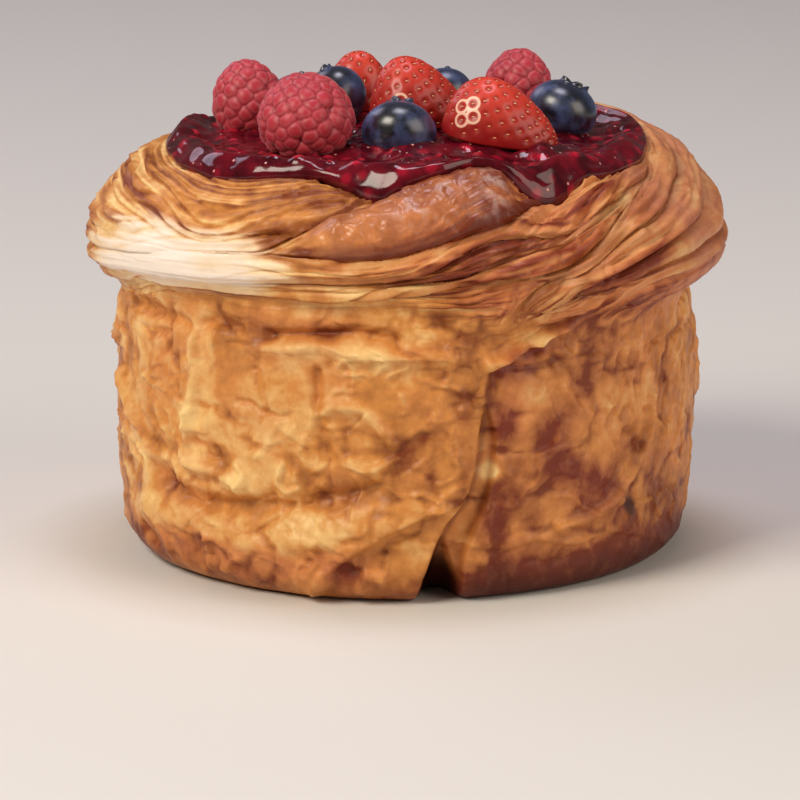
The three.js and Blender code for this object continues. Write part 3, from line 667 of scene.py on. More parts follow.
# %% Points of the skin
along = np.gradient(plain, axis=1)
along /= np.linalg.norm(along, axis=-1, keepdims=True) + 1e-9
shift = slide * on_crown * (1 - on_seat)
radius = r_plain + along[..., 1] * rise + along[..., 0] * shift
radius -= notch_dip(az, z_plain) * (st >= 0.6)
height = z_plain - along[..., 0] * rise + along[..., 1] * shift
skin = np.stack([radius * np.sin(angle), -radius * np.cos(angle), height], -1)
skin[..., 2] = np.maximum(skin[..., 2], 0)  # the foot is flat
skin[:, 0, 2] = 0
farthest = np.hypot(skin[..., 0], skin[..., 1]).max()
highest = skin[..., 2].max()
print("the skin reaches", round(float(farthest), 1), "mm out and", round(float(highest), 1), "mm up")

# %% [markdown]
# ## Where the crust is pale, brown or dark
# An oven browns what stands out and leaves what is covered. So the maps follow the shape: lips
# and edges are red-brown, the foot that touched the tin is brown, and the stretch at the left of
# the crown that a neighbour shaded stayed pale, like unbaked dough. Painted shade darkens the gaps,
# the creases and the notch, and painted light brightens raised folds and a few places of the glaze.

# %% Where the crust is pale
pale_edge = 0.3 * rough_noise(spot * [1, 1, 1.6], 7, 71) - 0.16 * streaks + 0.3 * sheet_lines
pale = 1 - smoothstep(pale_off + pale_edge, 0.4, 1.2)
pale = pale * on_crown * (1 - on_seat)

# %% [markdown]
# Each strand had its own place in the oven: the smooth one in front got the most heat and egg
# wash, the strand below it lies in a shadow and its darker colour is painted shade, the next is
# still golden. So the bands between the edges each get an offset for how brown and how red they are.

# %% How brown and how red each strand is
BAND_FADE = 8  # degrees over which a band comes and goes
# lower edge, upper edge, turns the upper one is ahead, and [azimuth, browner by, redder by]
BANDS = [
    (3, 2, 0, [[26, 0.12, 0.55], [150, 0.1, 0.4], [270, 0, 0.15], [334, -0.1, 0.1], [343, 0.34, 0.8],
               [388, 0.46, 0.85]]),
    (4, 3, 0, [[40, 0.05, 0.45], [150, 0.1, 0.35], [270, 0, 0.1], [335, 0, 0.2], [350, 0.12, 0.6],
               [406, 0.1, 0.6]]),
    # this band is darker as painted shade, for the strand that lies in shadow
    (6, 4, 0, [[348, 0.55, 0.35], [404, 0.5, 0.4]]),
    (5, 6, 0, [[348, 0.12, 0.4], [422, 0.05, 0.45]]),
    (5, 4, 0, [[70, 0.02, 0.2], [180, 0.08, 0.3], [280, 0, 0.1], [345, 0, 0.1]]),
    (0, 5, 1, [[8, -0.13, 0.42], [70, -0.08, 0.3]]),
    (1, 0, 0, [[26, -0.1, 0.35], [48, -0.12, 0.35], [70, -0.1, 0.3], [150, 0.1, 0.3]]),
    (2, 1, 0, [[30, 0.1, 0.5], [60, -0.08, 0.3], [90, 0, 0.3], [180, 0.1, 0.4], [280, 0, 0.1],
               [320, 0.05, 0.1], [345, 0.12, 0.25]]),
]


def edge_line(number, turned):
    """Climb of an edge; the smooth strand's upper edge runs under the compote in the front."""
    past_end = (number == 2) & (turned > EDGES[2]["line"][-1][0])
    return np.where(past_end, 1.1, curve_at(EDGES[number]["line"], turned))[:, None]


browner = np.zeros_like(z_plain)
redder = np.zeros_like(z_plain)
for low_edge, high_edge, ahead, keys in BANDS:
    for turn in (0, 360):
        turned = AZIMUTH % 360 + turn
        over = (CLIMB[None] - edge_line(low_edge, turned)) * CROWN_LENGTH
        under = (edge_line(high_edge, turned + 360 * ahead) - CLIMB[None]) * CROWN_LENGTH
        first, last = keys[0][0], keys[-1][0]
        comes = smoothstep(turned, first, first + BAND_FADE)
        goes = smoothstep(turned, last - BAND_FADE, last)
        ends = (comes * (1 - goes))[:, None]
        inside = smoothstep(over, -0.6, 0.8) * smoothstep(under, -0.6, 0.8) * ends * on_crown
        browner += inside * curve_at([[a, b] for a, b, _ in keys], turned)[:, None]
        redder += inside * curve_at([[a, r] for a, _, r in keys], turned)[:, None]
print(len(BANDS), "bands between the edges")

# %% [markdown]
# On the wall the right panel baked against bare metal: it has dark red-brown blotches between
# golden ones. They are soft spots, each with a place, a size and a strength, and noise frays them.

# %% Blotches of the wall
# azimuth, height, half width and half height in mm, browner by, redder by
BLOTCHES = [
    (30, 26.5, 3.5, 6, 0.5, 0.7), (34, 21, 5, 4, 0.45, 0.7), (41, 17, 6, 4, 0.4, 0.7),
    (17, 14.5, 3, 5, 0.3, 0.6), (22, 40, 4, 2, 0.12, 0.6), (34, 46.5, 6, 1.6, 0.15, 0.6),
    (20, 32, 2, 4, 0.25, 0.5), (50, 8.5, 5, 4, 0.35, 0.3), (26, 34, 3.4, 5, -0.2, 0),
    (31, 16, 3.4, 5, -0.25, 0), (43, 30, 5, 6, -0.25, 0), (57, 33, 5, 7, -0.22, 0.1),
    (18.3, 30.5, 1.3, 2.2, 0, 1), (24, 42.8, 5, 1.6, 0.5, 0.9), (35, 47.8, 6, 1.6, 0.5, 0.9),
    (47, 50, 7, 1.4, 0.4, 0.8), (25, 2.5, 12, 4.5, 0.35, 0.8), (48, 2.5, 12, 4.5, 0.35, 0.8),
    # the blotch at azimuth 10.8 darkens the left panel's free edge by the seam as painted shade
    (66, 2, 10, 4.5, 0.2, 0.6), (55, 12, 5, 4.5, -0.3, -0.3), (10.8, 28, 2, 9, 0.3, 0.3),
    (16.6, 22.8, 1.8, 1.6, -0.6, -0.6), (-28, 13.4, 11, 2.6, -0.12, -0.2), (-37, 6, 21, 3.6, 0.14, 0.9),
    (-14, 6.5, 8, 3.4, 0.25, 0.6), (-72, 4, 12, 4, 0.2, 0.45), (-52, 17, 5, 2, 0.25, 0.3),
    (-20, 47, 14, 2, 0.2, 0.2), (5, 44, 6, 2, 0.15, 0.2), (-12, 22, 9, 2, 0.12, 0.1),
    (2, 30, 5, 8, 0.12, 0.1),
]
for azimuth, z, half_width, half_height, brown_by, red_by in BLOTCHES:
    x = (az - azimuth) * PER_DEGREE / half_width
    y = (z_plain - z) / half_height
    here = np.exp(-(x * x + y * y) ** 1.4 + 0.7 * noise(spot, 3, 83)) * on_wall * (st < 3)
    browner += brown_by * here
    redder += red_by * here
print(len(BLOTCHES), "blotches")

# %% [markdown]
# The brown of the crust is a sum: two noises for the uneven heat of any oven, more near the foot,
# along the layers and beside the compote, which soaked in. Painted shade adds to it in the creases
# and in the thin lines under the sheets, and painted light takes from it on raised folds and on the
# high parts of the sheets. The redness follows the same causes, with a share of its own for each.

# %% How brown the crust is
to_right = smoothstep(az, -25, 10)
bottom = 1 - smoothstep(z_plain + 3 * rough_noise(spot, 6, 81), 0.5, 5.5 + 3 * to_right)
bottom *= 0.55 + 0.45 * to_right + 0.5 * rough_noise(spot, 3, 82)
# painted shade: darker in the creases of the wall; raised folds lighter as painted light, sunk ones darker
# as painted shade
crease_shade = (1 - smoothstep(cushions, 0.12, 0.6)) * on_wall
fold_light_and_shade = np.clip(0.5 * (folds + creases), -0.7, 0.7) * on_wall
low_wall = (1 - smoothstep(z_plain, 8, 28)) * on_wall
near_edge = np.clip(rim + gap_shade, 0, 1) * on_crown
by_jam = np.exp(-((az + 20) / 28) ** 2) * smoothstep(CLIMB[None], 0.66, 0.86)
laminated = 0.04 + (0.36 + 0.3 * near_edge + 0.45 * frayed) * streaks * (1 - 0.5 * calm)
# partly painted light: the thin lines under the sheets are darker, as their own burnt ends and as painted
# shade, and their high parts are lighter as painted light
laminated += (0.55 * sheet_lines - 0.25 * (sheets - 0.4)) * (1 - 0.65 * calm) * (1 - 0.55 * on_left)
laminated -= 0.04 * on_left
laminated = (laminated + 0.42 * by_jam) * on_crown * smooth_there
browning = (0.38 + 0.34 * rough_noise(spot, 9, 91) + 0.16 * rough_noise(spot, 2.6, 92) + 0.36 * crease_shade
            - 0.3 * fold_light_and_shade + (0.4 + 0.25 * on_panel) * bottom + 0.12 * low_wall + 0.27 * on_panel
            - 0.15 * on_strip + browner + laminated)
baked = 1 - smoothstep(pale, 0, 0.4)
# in the pale patch the thin lines under the sheets stay a little darker, partly as painted shade
browning = browning * (0.05 + 0.95 * baked) + 0.06 * sheet_lines * (1 - baked)
browning = np.clip(browning, 0.2 * frayed * on_crown, 1)
print("browning is", round(float(browning.mean()), 2), "on average")

# %% How red it is, and where it turned rosy at the right
redness = (redder + 0.1 + 0.36 * on_panel + 0.5 * bottom + 0.3 * noise(spot, 6, 93) + 0.3 * laminated
           + 0.45 * frayed * on_crown - 0.3 * on_left * on_crown)
redness = np.clip(redness, 0, 1) * baked
rosy = smoothstep(az, 46, 66) * (1 - smoothstep(az, 150, 175))
rosy = rosy * on_crown * (0.75 + 0.5 * noise(spot, 8, 99))
print("redness is", round(float(redness.mean()), 2), "on average")

# %% [markdown]
# Lips of dough are thin and burn first, so they get a red-brown line. The gaps under them get
# painted shade, a dark colour where hardly any light gets in. The same painted shade goes on the
# seam of the wall and on the open strip at its foot.

# %% Lips, and painted shade in the gaps
edge_map = rim * on_crown * (1 - 0.85 * pale) * (0.75 + 0.5 * rough_noise(spot, 5, 95))
edge_map *= (1 - 0.6 * on_left) * (1 - 0.4 * calm) * (0.75 + (0.5 + 0.9 * frayed) * streaks)
seam_line = np.exp(-((past_seam - 0.9) / 0.8) ** 2) * (on_panel > 0.3) * (st < 2.2)
left_side = smoothstep(-az, 12, 40)
gap_shade_map = gap_shade * on_crown * (1 - 0.7 * left_side) * (1 - 0.95 * pale) * (1 - 0.45 * calm)
gap_shade_map = gap_shade_map * (0.85 + 0.6 * streaks) + 0.7 * seam_line
gap_shade_map += on_strip * (1 - smoothstep(z_plain, 0, 9))

# %% [markdown]
# Two small things finish the crust. A few places of the smooth strand get a painted highlight, a
# white-pink tint where its glaze would catch the light. And the foot right of the notch is dark,
# partly scorched where it touched the hottest metal and partly painted shade where it meets the
# floor; inside the notch the dark is painted shade, and one small spot a little higher is dark too.
# Both are maps too, from distance and noise.

# %% Painted highlights on the glaze
PAINTED_GLAZE_HIGHLIGHTS = [(1, 0.78, 3, 2), (18, 0.84, 2.6, 5), (9, 0.86, 5, 1.4)]  # azimuth, climb, half sizes in mm
painted_glaze_highlight = np.zeros_like(z_plain)
for azimuth, climb, half_width, half_height in PAINTED_GLAZE_HIGHLIGHTS:
    x = (az - azimuth) * PER_DEGREE / half_width
    y = (CLIMB[None] - climb) * CROWN_LENGTH / half_height
    painted_glaze_highlight += np.exp(-(x * x + y * y)) * in_bulge
painted_glaze_highlight *= smoothstep(rough_noise(spot, 1.3, 97), -0.15, 0.35)

# %% Scorched places, and painted shade at the foot and in the notch
DARK_SPOT = dict(azimuth=51.6, z=12.6, half_width=1.5, half_height=2.2, slant=0.6)
# right of the notch the foot is darker: partly scorch, partly painted shade where it meets the floor
scorch_and_shade = (1 - smoothstep(z_plain + 2.5 * rough_noise(spot, 4, 85), 1.5, 8.5)) * smoothstep(az, 8, 16)
scorch_and_shade = 0.75 * scorch_and_shade * (1 - smoothstep(az, 85, 115)) * (st < 2)
# inside the notch: painted shade
scorch_and_shade = scorch_and_shade + smoothstep(notch_dip(az, z_plain), 1, 4)
dark_spot_z = z_plain - DARK_SPOT["z"]
dark_spot_x = (az - DARK_SPOT["azimuth"] + DARK_SPOT["slant"] * dark_spot_z) * PER_DEGREE
dark_spot_off = (dark_spot_x / DARK_SPOT["half_width"]) ** 2 + (dark_spot_z / DARK_SPOT["half_height"]) ** 2
scorch_and_shade += 1.4 * np.exp(-dark_spot_off ** 1.5) * (st < 3)

# %% The skin of the pastry
maps = dict(browning=browning, redness=redness, edge=edge_map, gap_shade=gap_shade_map, pale=pale,
            glaze=in_bulge * on_crown, painted_glaze_highlight=painted_glaze_highlight, rosy=rosy, scorch_and_shade=scorch_and_shade)
maps = {key: np.clip(values * np.ones_like(z_plain), 0, 1) for key, values in maps.items()}
pastry = grid_mesh("pastry_skin", skin, attributes=maps)

# %% [markdown]
# ## Colours and nodes
# Colours are written as they look on a screen, in hex, and one function turns them into the
# linear values that light works with. One small function adds a node with its settings and its
# links, so that a material reads as a short list of what is mixed with what.

# %% Colour and node helpers
def linear(code):
    """Linear RGBA of a screen colour such as "#c98a4b"."""
    channels = [int(code[i:i + 2], 16) / 255 for i in (1, 3, 5)]
    return [c / 12.92 if c <= 0.04045 else ((c + 0.055) / 1.055) ** 2.4 for c in channels] + [1]


def add(tree, kind, inputs=None, **settings):
    """Adds a node; inputs maps a socket's name or number to a value or another node's output."""
    made = tree.nodes.new(kind)
    for key, value in settings.items():
        setattr(made, key, value)
    for key, value in (inputs or {}).items():
        if isinstance(value, bpy.types.NodeSocket):
            tree.links.new(value, made.inputs[key])
        else:
            made.inputs[key].default_value = value
    return made


def new_material(name, **sockets):
    """A material with its tree, its shader with the values of its own sockets, and a position."""
    made = bpy.data.materials.new(name)
    made.use_nodes = True
    tree = made.node_tree
    shader = tree.nodes["Principled BSDF"]
    for key, value in sockets.items():
        shader.inputs[key.replace("_", " ")].default_value = value
    place = add(tree, "ShaderNodeTexCoord").outputs["Object"]
    return made, tree, shader, place


def per_metre(size_mm):
    """Scale of a pattern in a noise node, from the real size of its lumps."""
    return 1 / (size_mm * MM)


# %% [markdown]
# ### Baked laminated pastry
# Egg wash and butter leave a thin shine on baked dough: a clear glaze over a rough crust, thickest
# on the smooth strand. The crust's colour runs from pale gold over golden brown to a deep
# red-brown, set by the maps and broken up by noise. What is too fine for the mesh is bump: soft
# unevenness of 3 mm, wrinkles of 2.4 mm, and crumbs and tiny blisters of 0.7 mm.

# %% Baked laminated pastry
def baked_pastry():
    made, tree, shader, place = new_material(
        "baked_laminated_pastry", IOR=1.45, Specular_IOR_Level=0.28, Coat_Roughness=0.26)
    read = {key: add(tree, "ShaderNodeAttribute", attribute_name=key).outputs["Fac"] for key in maps}
    blotch = add(tree, "ShaderNodeTexNoise", {
        "Vector": place, "Scale": per_metre(3.2), "Detail": 5, "Roughness": 0.62}).outputs["Fac"]
    speck = add(tree, "ShaderNodeTexNoise", {
        "Vector": place, "Scale": per_metre(0.7), "Detail": 3}).outputs["Fac"]
    wrinkle = add(tree, "ShaderNodeTexNoise", {
        "Vector": place, "Scale": per_metre(2.4), "Detail": 3},
        noise_type="RIDGED_MULTIFRACTAL").outputs["Fac"]

    # from pale gold over golden brown to dark brown
    uneven = add(tree, "ShaderNodeMath", {0: blotch, 1: 0.8, 2: -0.4}, operation="MULTIPLY_ADD")
    level = add(tree, "ShaderNodeMath", {
        0: read["browning"], 1: uneven.outputs[0]}, operation="ADD").outputs[0]
    low = add(tree, "ShaderNodeMapRange", {0: level, 1: 0.0, 2: 0.45}).outputs[0]
    high = add(tree, "ShaderNodeMapRange", {0: level, 1: 0.45, 2: 1.0}).outputs[0]
    golden = add(tree, "ShaderNodeMix", {
        0: low, 6: linear("#f4ce8a"), 7: linear("#cf8a45")}, data_type="RGBA").outputs[2]
    colour = add(tree, "ShaderNodeMix", {
        0: high, 6: golden, 7: linear("#7c3c17")}, data_type="RGBA").outputs[2]
    red_brown = add(tree, "ShaderNodeMix", {
        0: high, 6: linear("#cf7e4e"), 7: linear("#742a1b")}, data_type="RGBA").outputs[2]

    # each map lays its own colour over what is there, at its full strength where the map is 1
    layers = [("redness", red_brown, 0.75), ("rosy", linear("#b97c6c"), 0.5),
              ("pale", linear("#f3e4d6"), 1), ("edge", linear("#9c3f1c"), 0.68),
              ("gap_shade", linear("#64230f"), 0.85), ("scorch_and_shade", linear("#34120f"), 0.85),
              ("painted_glaze_highlight", linear("#dcc3bd"), 0.42)]
    for key, tint, strength in layers:
        share = add(tree, "ShaderNodeMath", {0: read[key], 1: strength}, operation="MULTIPLY").outputs[0]
        colour = add(tree, "ShaderNodeMix", {0: share, 6: colour, 7: tint}, data_type="RGBA").outputs[2]
    tree.links.new(colour, shader.inputs["Base Color"])

    rough = add(tree, "ShaderNodeMapRange", {0: blotch, 3: 0.36, 4: 0.6}).outputs[0]
    tree.links.new(rough, shader.inputs["Roughness"])
    coat = add(tree, "ShaderNodeMapRange", {0: read["glaze"], 3: 0.09, 4: 0.55}).outputs[0]
    tree.links.new(coat, shader.inputs["Coat Weight"])
    crumbs = add(tree, "ShaderNodeBump", {"Height": blotch, "Strength": 0.5, "Distance": 0.35 * MM})
    for height, strength in ((wrinkle, 0.4), (speck, 0.35)):
        crumbs = add(tree, "ShaderNodeBump", {
            "Height": height, "Strength": strength, "Distance": 0.12 * MM, "Normal": crumbs.outputs[0]})
    tree.links.new(crumbs.outputs[0], shader.inputs["Normal"])
    return made


pastry.data.materials.append(baked_pastry())
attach(pastry, "root")
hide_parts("pastry")

# %% [markdown]
# ## The compote
# The compote was spooned into the hollow while it was soft. It settled into a low dome, ran
# over the edge in a few places, and stood up there in a thick round lip, as jam does. Its top is
# lumpy with the fruit in it, and it climbs a little round each blueberry and strawberry, so the
# places of the berries are given here too. The mesh is a round sheet that follows the pastry
# under its rim and is closed below by a few rings that go down into the hollow. A fluid
# simulation would flow by itself, but it would not stop where the real compote did.

# %% Rim of the compote
# azimuth, half angle, mm further out; with a minus a strand holds it back
DRIPS = [(-5, 8, 1.3), (32, 8, 2.3), (-20, 8, -2), (16, 6, -1.4), (-52, 14, 1.4), (75, 22, 0.6),
         (130, 30, -0.8)]
LIP_HEIGHT = [[-180, 1.4], [-120, 2], [-60, 2.4], [0, 2.8], [45, 2.8], [75, 2.4], [100, 1.2], [150, 0.8]]
LIP_WIDTH = 2.8
compote_azimuth = np.arange(0, 360, 0.75) - 180


def compote_edge(azimuth):
    """Radius of the compote's rim, in mm."""
    reach_mm = JAM_R + 0.2 + 0.35 * np.sin(np.radians(azimuth) * 7 + 1)
    for centre, half, reach in DRIPS:
        reach_mm = reach_mm + reach * np.exp(-((azimuth - centre) / half) ** 2)
    wave = np.stack([np.sin(np.radians(azimuth)), np.cos(np.radians(azimuth)), 0 * azimuth], -1) * JAM_R
    return reach_mm + 0.3 * noise(wave, 5, 201)


# %% Height of the pastry under the rim
def pastry_height(azimuth, r):
    """Height of the pastry's skin at radius r near the crest, (azimuths, radii)."""
    crest_side = (STATION > 2.5) & (STATION <= 3.001)
    heights = np.zeros_like(r)
    order = np.argsort(AZIMUTH)
    for row, a in enumerate(azimuth):
        column = order[np.argmin(np.abs(AZIMUTH[order] - a))]
        radii = np.hypot(skin[column, crest_side, 0], skin[column, crest_side, 1])
        falling = np.minimum.accumulate(radii)
        heights[row] = np.interp(-r[row], -falling, skin[column, crest_side, 2])
    return heights


def covered(heights):
    """Heights of a soft cover: it bridges the small dips, as thick jam does."""
    for _ in range(3):
        heights = np.maximum(heights, np.maximum(np.roll(heights, 1, 0), np.roll(heights, -1, 0)))
    for _ in range(20):
        heights = (np.roll(heights, 1, 0) + 2 * heights + np.roll(heights, -1, 0)) / 4
    return heights


# %% Places of the berries
# name, place in mm, size in mm as width and height (a half has its length first), lean in degrees
BERRIES = [
    ("raspberry_front", (-17.2, -14.5, 77.6), (16.8, 14.8), (8, -4, 0)),
    ("raspberry_left", (-27.6, 6, 76.8), (12.8, 14), (0, -8, 30)),
    ("raspberry_right", (19.7, 18, 77), (12.4, 13.6), (-4, 4, 60)),
    ("blueberry_front", (-1.3, -14, 74.5), (12.8, 10.6), (-30, 4, 0)),
    ("blueberry_left", (-12.2, 7, 77.2), (10.6, 10.2), (-20, -38, 0)),
    ("blueberry_right", (27.3, 6.6, 74.9), (12.4, 9.8), (-10, 24, 0)),
    ("blueberry_behind", (6.9, 14.6, 76), (10, 9.2), (-60, 0, 0)),
    ("blueberry_between", (-19.8, 14.3, 75.2), (8.8, 8.8), (-50, 20, 0)),
    ("strawberry_middle", (2.3, 1, 73.6), (17.8, 13.6, 11), (0, 0, 12)),
    ("strawberry_front", (15.9, -12.4, 73.4), (20.4, 13.2, 9.4), (4, 9, -6)),
    ("strawberry_back", (-8.8, 19.8, 73.4), (12.6, 11.6, 9.4), (0, 0, 100)),
]
CLIMBS = dict(raspberry=0, blueberry=0.2, strawberry=0.7)  # mm that the compote climbs up a berry

# %% Surface of the compote
share = np.concatenate([np.linspace(0.01, 0.8, 55), np.linspace(0.81, 1, 50)])
edge_r = compote_edge(compote_azimuth)
compote_r = edge_r[:, None] * share[None]
turn = np.radians(compote_azimuth)[:, None]
flat = np.stack([compote_r * np.sin(turn), -compote_r * np.cos(turn), 0 * compote_r], -1)
inward = edge_r[:, None] - compote_r
lip = np.sqrt(np.clip(1 - (1 - np.minimum(inward / LIP_WIDTH, 1)) ** 2, 0, 1))
lip = lip * round_at(LIP_HEIGHT, compote_azimuth)[:, None]
lumps = 1.1 * noise(flat, 8.5, 211) + 0.7 * noise(flat, 4.5, 215) + 0.35 * noise(flat, 2.8, 217) - 0.35
skin_z = pastry_height(compote_azimuth, np.maximum(compote_r, JAM_R - 1.5))
under = covered(skin_z)
rounded = (1 - share[None] ** 2) ** 0.6
by_rim = smoothstep(-inward, -6, 0)
level = np.minimum(under, COMPOTE_EDGE_Z - 1) * by_rim + (COMPOTE_EDGE_Z - 1.4) * (1 - by_rim)
settle = smoothstep(inward, 0, 2.5)
compote_z = under * (1 - settle) + (level + (COMPOTE_EDGE_Z + COMPOTE_DOME - level) * rounded) * settle
compote_z = compote_z + lip * (1 - smoothstep(inward, LIP_WIDTH, 3 * LIP_WIDTH))
compote_z = compote_z + lumps * smoothstep(inward, 0, 1.4)

# %% It climbs round the berries, and stays above the dough
for name, place, size, lean in BERRIES:
    a = math.radians(lean[2])
    x, y = flat[..., 0] - place[0], flat[..., 1] - place[1]
    along_it, beside_it = x * math.cos(a) + y * math.sin(a), y * math.cos(a) - x * math.sin(a)
    wide = size[1] if len(size) == 3 else size[0]
    outside = (np.hypot(along_it / size[0], beside_it / wide) - 0.5) * wide
    climbs = CLIMBS[name.split("_")[0]]
    compote_z = compote_z + climbs * np.exp(-np.maximum(outside, 0) / 1.3) * smoothstep(inward, 0, 3)

crest = round_at(CREST_Z, compote_azimuth)[:, None]
seat_z = crest + (COMPOTE_EDGE_Z - SEAT_DROP - crest) * smoothstep(1 - compote_r / SEAT_R, 0, SEAT_SLOPE)
thick = 0.9 * smoothstep(inward, 0.4, 1.8)  # so that no dough shows through
compote_z = np.where(compote_r < SEAT_R, np.maximum(compote_z, seat_z + thick), compote_z)
print("the compote is", round(float(compote_z.min()), 1), "to", round(float(compote_z.max()), 1), "mm high")

# %% [markdown]
# Whole drupelets and seeds show in it. Each drupelet near the top lifts the surface a little, and
# a map keeps its place for the material, which makes it bright red. Drupelets that lie deeper, and
# the seeds, small pale grains just under the gloss that also serve as painted glints, are drawn by
# the material alone.

# %% Drupelets in the compote
BEADS = 220
BEAD_LIFT = 0.38  # share of a drupelet's radius that stands out


def scattered(count, reach_mm, apart, seed):
    """Seeded places [x, y] inside a circle, more near its rim, none closer than apart mm."""
    draw = np.random.default_rng(seed)
    places = []
    while len(places) < count:
        r, a = reach_mm * draw.uniform() ** 0.35, draw.uniform(0, 2 * math.pi)
        spot_xy = np.array([r * math.cos(a), r * math.sin(a)])
        if all(np.hypot(*(spot_xy - p)) > apart for p in places):
            places.append(spot_xy)
    return np.array(places)


bead_map = np.zeros_like(compote_z)
bead_places = scattered(BEADS, 40, 1.8, 221)
bead_sizes = np.random.default_rng(222).uniform(0.7, 1.35, BEADS)
for place, size in zip(bead_places, bead_sizes):
    d = np.hypot(flat[..., 0] - place[0], flat[..., 1] - place[1]) / size
    cap = np.sqrt(np.clip(1 - d * d, 0, 1))
    compote_z = compote_z + BEAD_LIFT * size * cap
    bead_map = np.maximum(bead_map, cap ** 2)

# %% Mesh of the compote, closed below
foot_z = np.full(len(turn), COMPOTE_EDGE_Z - SEAT_DROP + 0.6)  # a little above the hollow's bottom
rim_z = skin_z[:, -1]
closing = [np.stack([flat[:, -1, 0] * k, flat[:, -1, 1] * k, z], -1)
           for k, z in ((0.995, rim_z - 0.5), (0.97, rim_z - 0.9), (0.9, foot_z), (0.3, foot_z))]
compote_points = np.concatenate([flat[..., :2], compote_z[..., None]], -1)
compote_points = np.concatenate([compote_points, np.stack(closing, 1)], 1)[:, ::-1]
bead_map = np.concatenate([bead_map, np.zeros((len(turn), len(closing)))], 1)[:, ::-1]
compote = grid_mesh("compote_body", compote_points, attributes=dict(bead=bead_map))


# %% [markdown]
# ### Berry compote
# Cooked fruit and sugar set to a clear dark gel. It is nearly black-red where it is deep and
# bright red where a drupelet lies near the surface. Its skin mirrors the light, and the pulp under
# it bends that mirror in soft waves of about 4.5 mm, which gives the eye a wet, thick jam.

# %% Berry compote material
def cooked_berry_gel():
    made, tree, shader, place = new_material(
        "cooked_berry_gel", Roughness=0.12, IOR=1.4, Specular_IOR_Level=0.6,
        Subsurface_Weight=0.15, Subsurface_Scale=1.2 * MM)
    shader.inputs["Subsurface Radius"].default_value = (1.0, 0.15, 0.12)
    bead = add(tree, "ShaderNodeAttribute", attribute_name="bead").outputs["Fac"]
    cloud = add(tree, "ShaderNodeTexNoise", {
        "Vector": place, "Scale": per_metre(4), "Detail": 4}).outputs["Fac"]
    cloud = add(tree, "ShaderNodeMapRange", {0: cloud, 1: 0.35, 2: 0.7}).outputs[0]
    colour = add(tree, "ShaderNodeMix", {
        0: cloud, 6: linear("#3c0710"), 7: linear("#701020")}, data_type="RGBA").outputs[2]

    # only some of the drupelets lie near enough to the surface to glow
    choose = add(tree, "ShaderNodeTexNoise", {
        "Vector": place, "Scale": per_metre(2.6), "Detail": 1}).outputs["Fac"]
    choose = add(tree, "ShaderNodeMapRange", {0: choose, 1: 0.47, 2: 0.6}).outputs[0]
    lit = add(tree, "ShaderNodeMath", {0: bead, 1: choose}, operation="MULTIPLY").outputs[0]
    deep_off = add(tree, "ShaderNodeTexVoronoi", {"Vector": place, "Scale": per_metre(4)})
    deep = add(tree, "ShaderNodeMapRange", {0: deep_off.outputs["Distance"], 1: 0.34, 2: 0.16}).outputs[0]
    deep = add(tree, "ShaderNodeMath", {0: deep, 1: 0.5}, operation="MULTIPLY").outputs[0]
    # pale seeds, which also serve as painted glints on the gel
    seed_and_glint_off = add(tree, "ShaderNodeTexVoronoi", {"Vector": place, "Scale": per_metre(2.6)})
    seed = add(tree, "ShaderNodeMapRange", {0: seed_and_glint_off.outputs["Distance"], 1: 0.12, 2: 0.07}).outputs[0]
    for share, tint in ((lit, "#c4243a"), (deep, "#b41a32"), (seed, "#d99a94")):
        colour = add(tree, "ShaderNodeMix", {
            0: share, 6: colour, 7: linear(tint)}, data_type="RGBA").outputs[2]
    tree.links.new(colour, shader.inputs["Base Color"])

    pulp = add(tree, "ShaderNodeTexNoise", {
        "Vector": place, "Scale": per_metre(4.5), "Detail": 1}).outputs["Fac"]
    pulp = add(tree, "ShaderNodeBump", {"Height": pulp, "Strength": 0.6, "Distance": 0.7 * MM}).outputs[0]
    tree.links.new(pulp, shader.inputs["Normal"])
    return made


compote.data.materials.append(cooked_berry_gel())
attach(compote, "root")
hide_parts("compote")

# %% [markdown]
# ## Raspberries
# A raspberry is a hollow cone of small round drupelets, each a tiny fruit with its own skin. Many
# small balls would give that too, but with hidden faces where they meet. So the mesh is one closed
# egg whose surface is pushed out to the nearest drupelet: the drupelets press against each other
# and leave sharp grooves, as they do on the fruit.

# %% Turning and round grids
def turned(points, lean, place):
    """Points turned by lean about X, Y and Z, the Z turn first, then moved to their place."""
    a, b, c = (math.radians(v) for v in lean)
    about_x = np.array([[1, 0, 0], [0, math.cos(a), -math.sin(a)], [0, math.sin(a), math.cos(a)]])
    about_y = np.array([[math.cos(b), 0, math.sin(b)], [0, 1, 0], [-math.sin(b), 0, math.cos(b)]])
    about_z = np.array([[math.cos(c), -math.sin(c), 0], [math.sin(c), math.cos(c), 0], [0, 0, 1]])
    return points @ (about_x @ about_y @ about_z).T + np.array(place)


def sphere_grid(columns, rings):
    """Turn and rise of a round body's grid: turn in radians, rise 0 at the bottom to 1 at the top."""
    turn_at = np.arange(columns) * 2 * math.pi / columns
    rise_at = np.linspace(0.002, 0.998, rings)
    return np.meshgrid(turn_at, rise_at, indexing="ij")


# %% Places of the drupelets
DRUPELET = 2.35  # mm across
GOLDEN_ANGLE = math.pi * (3 - math.sqrt(5))


def raspberry_core(turn_at, rise, width, tall):
    """The egg under the drupelets, wider at the bottom than at the top."""
    tilt = math.pi * rise
    full = np.sin(tilt) ** 0.9 * (1.22 - 0.5 * rise) * (width / 2 - 1)
    up = -np.cos(tilt) * (tall / 2 - 1.2)
    return np.stack([np.cos(turn_at) * full, np.sin(turn_at) * full, up], -1)


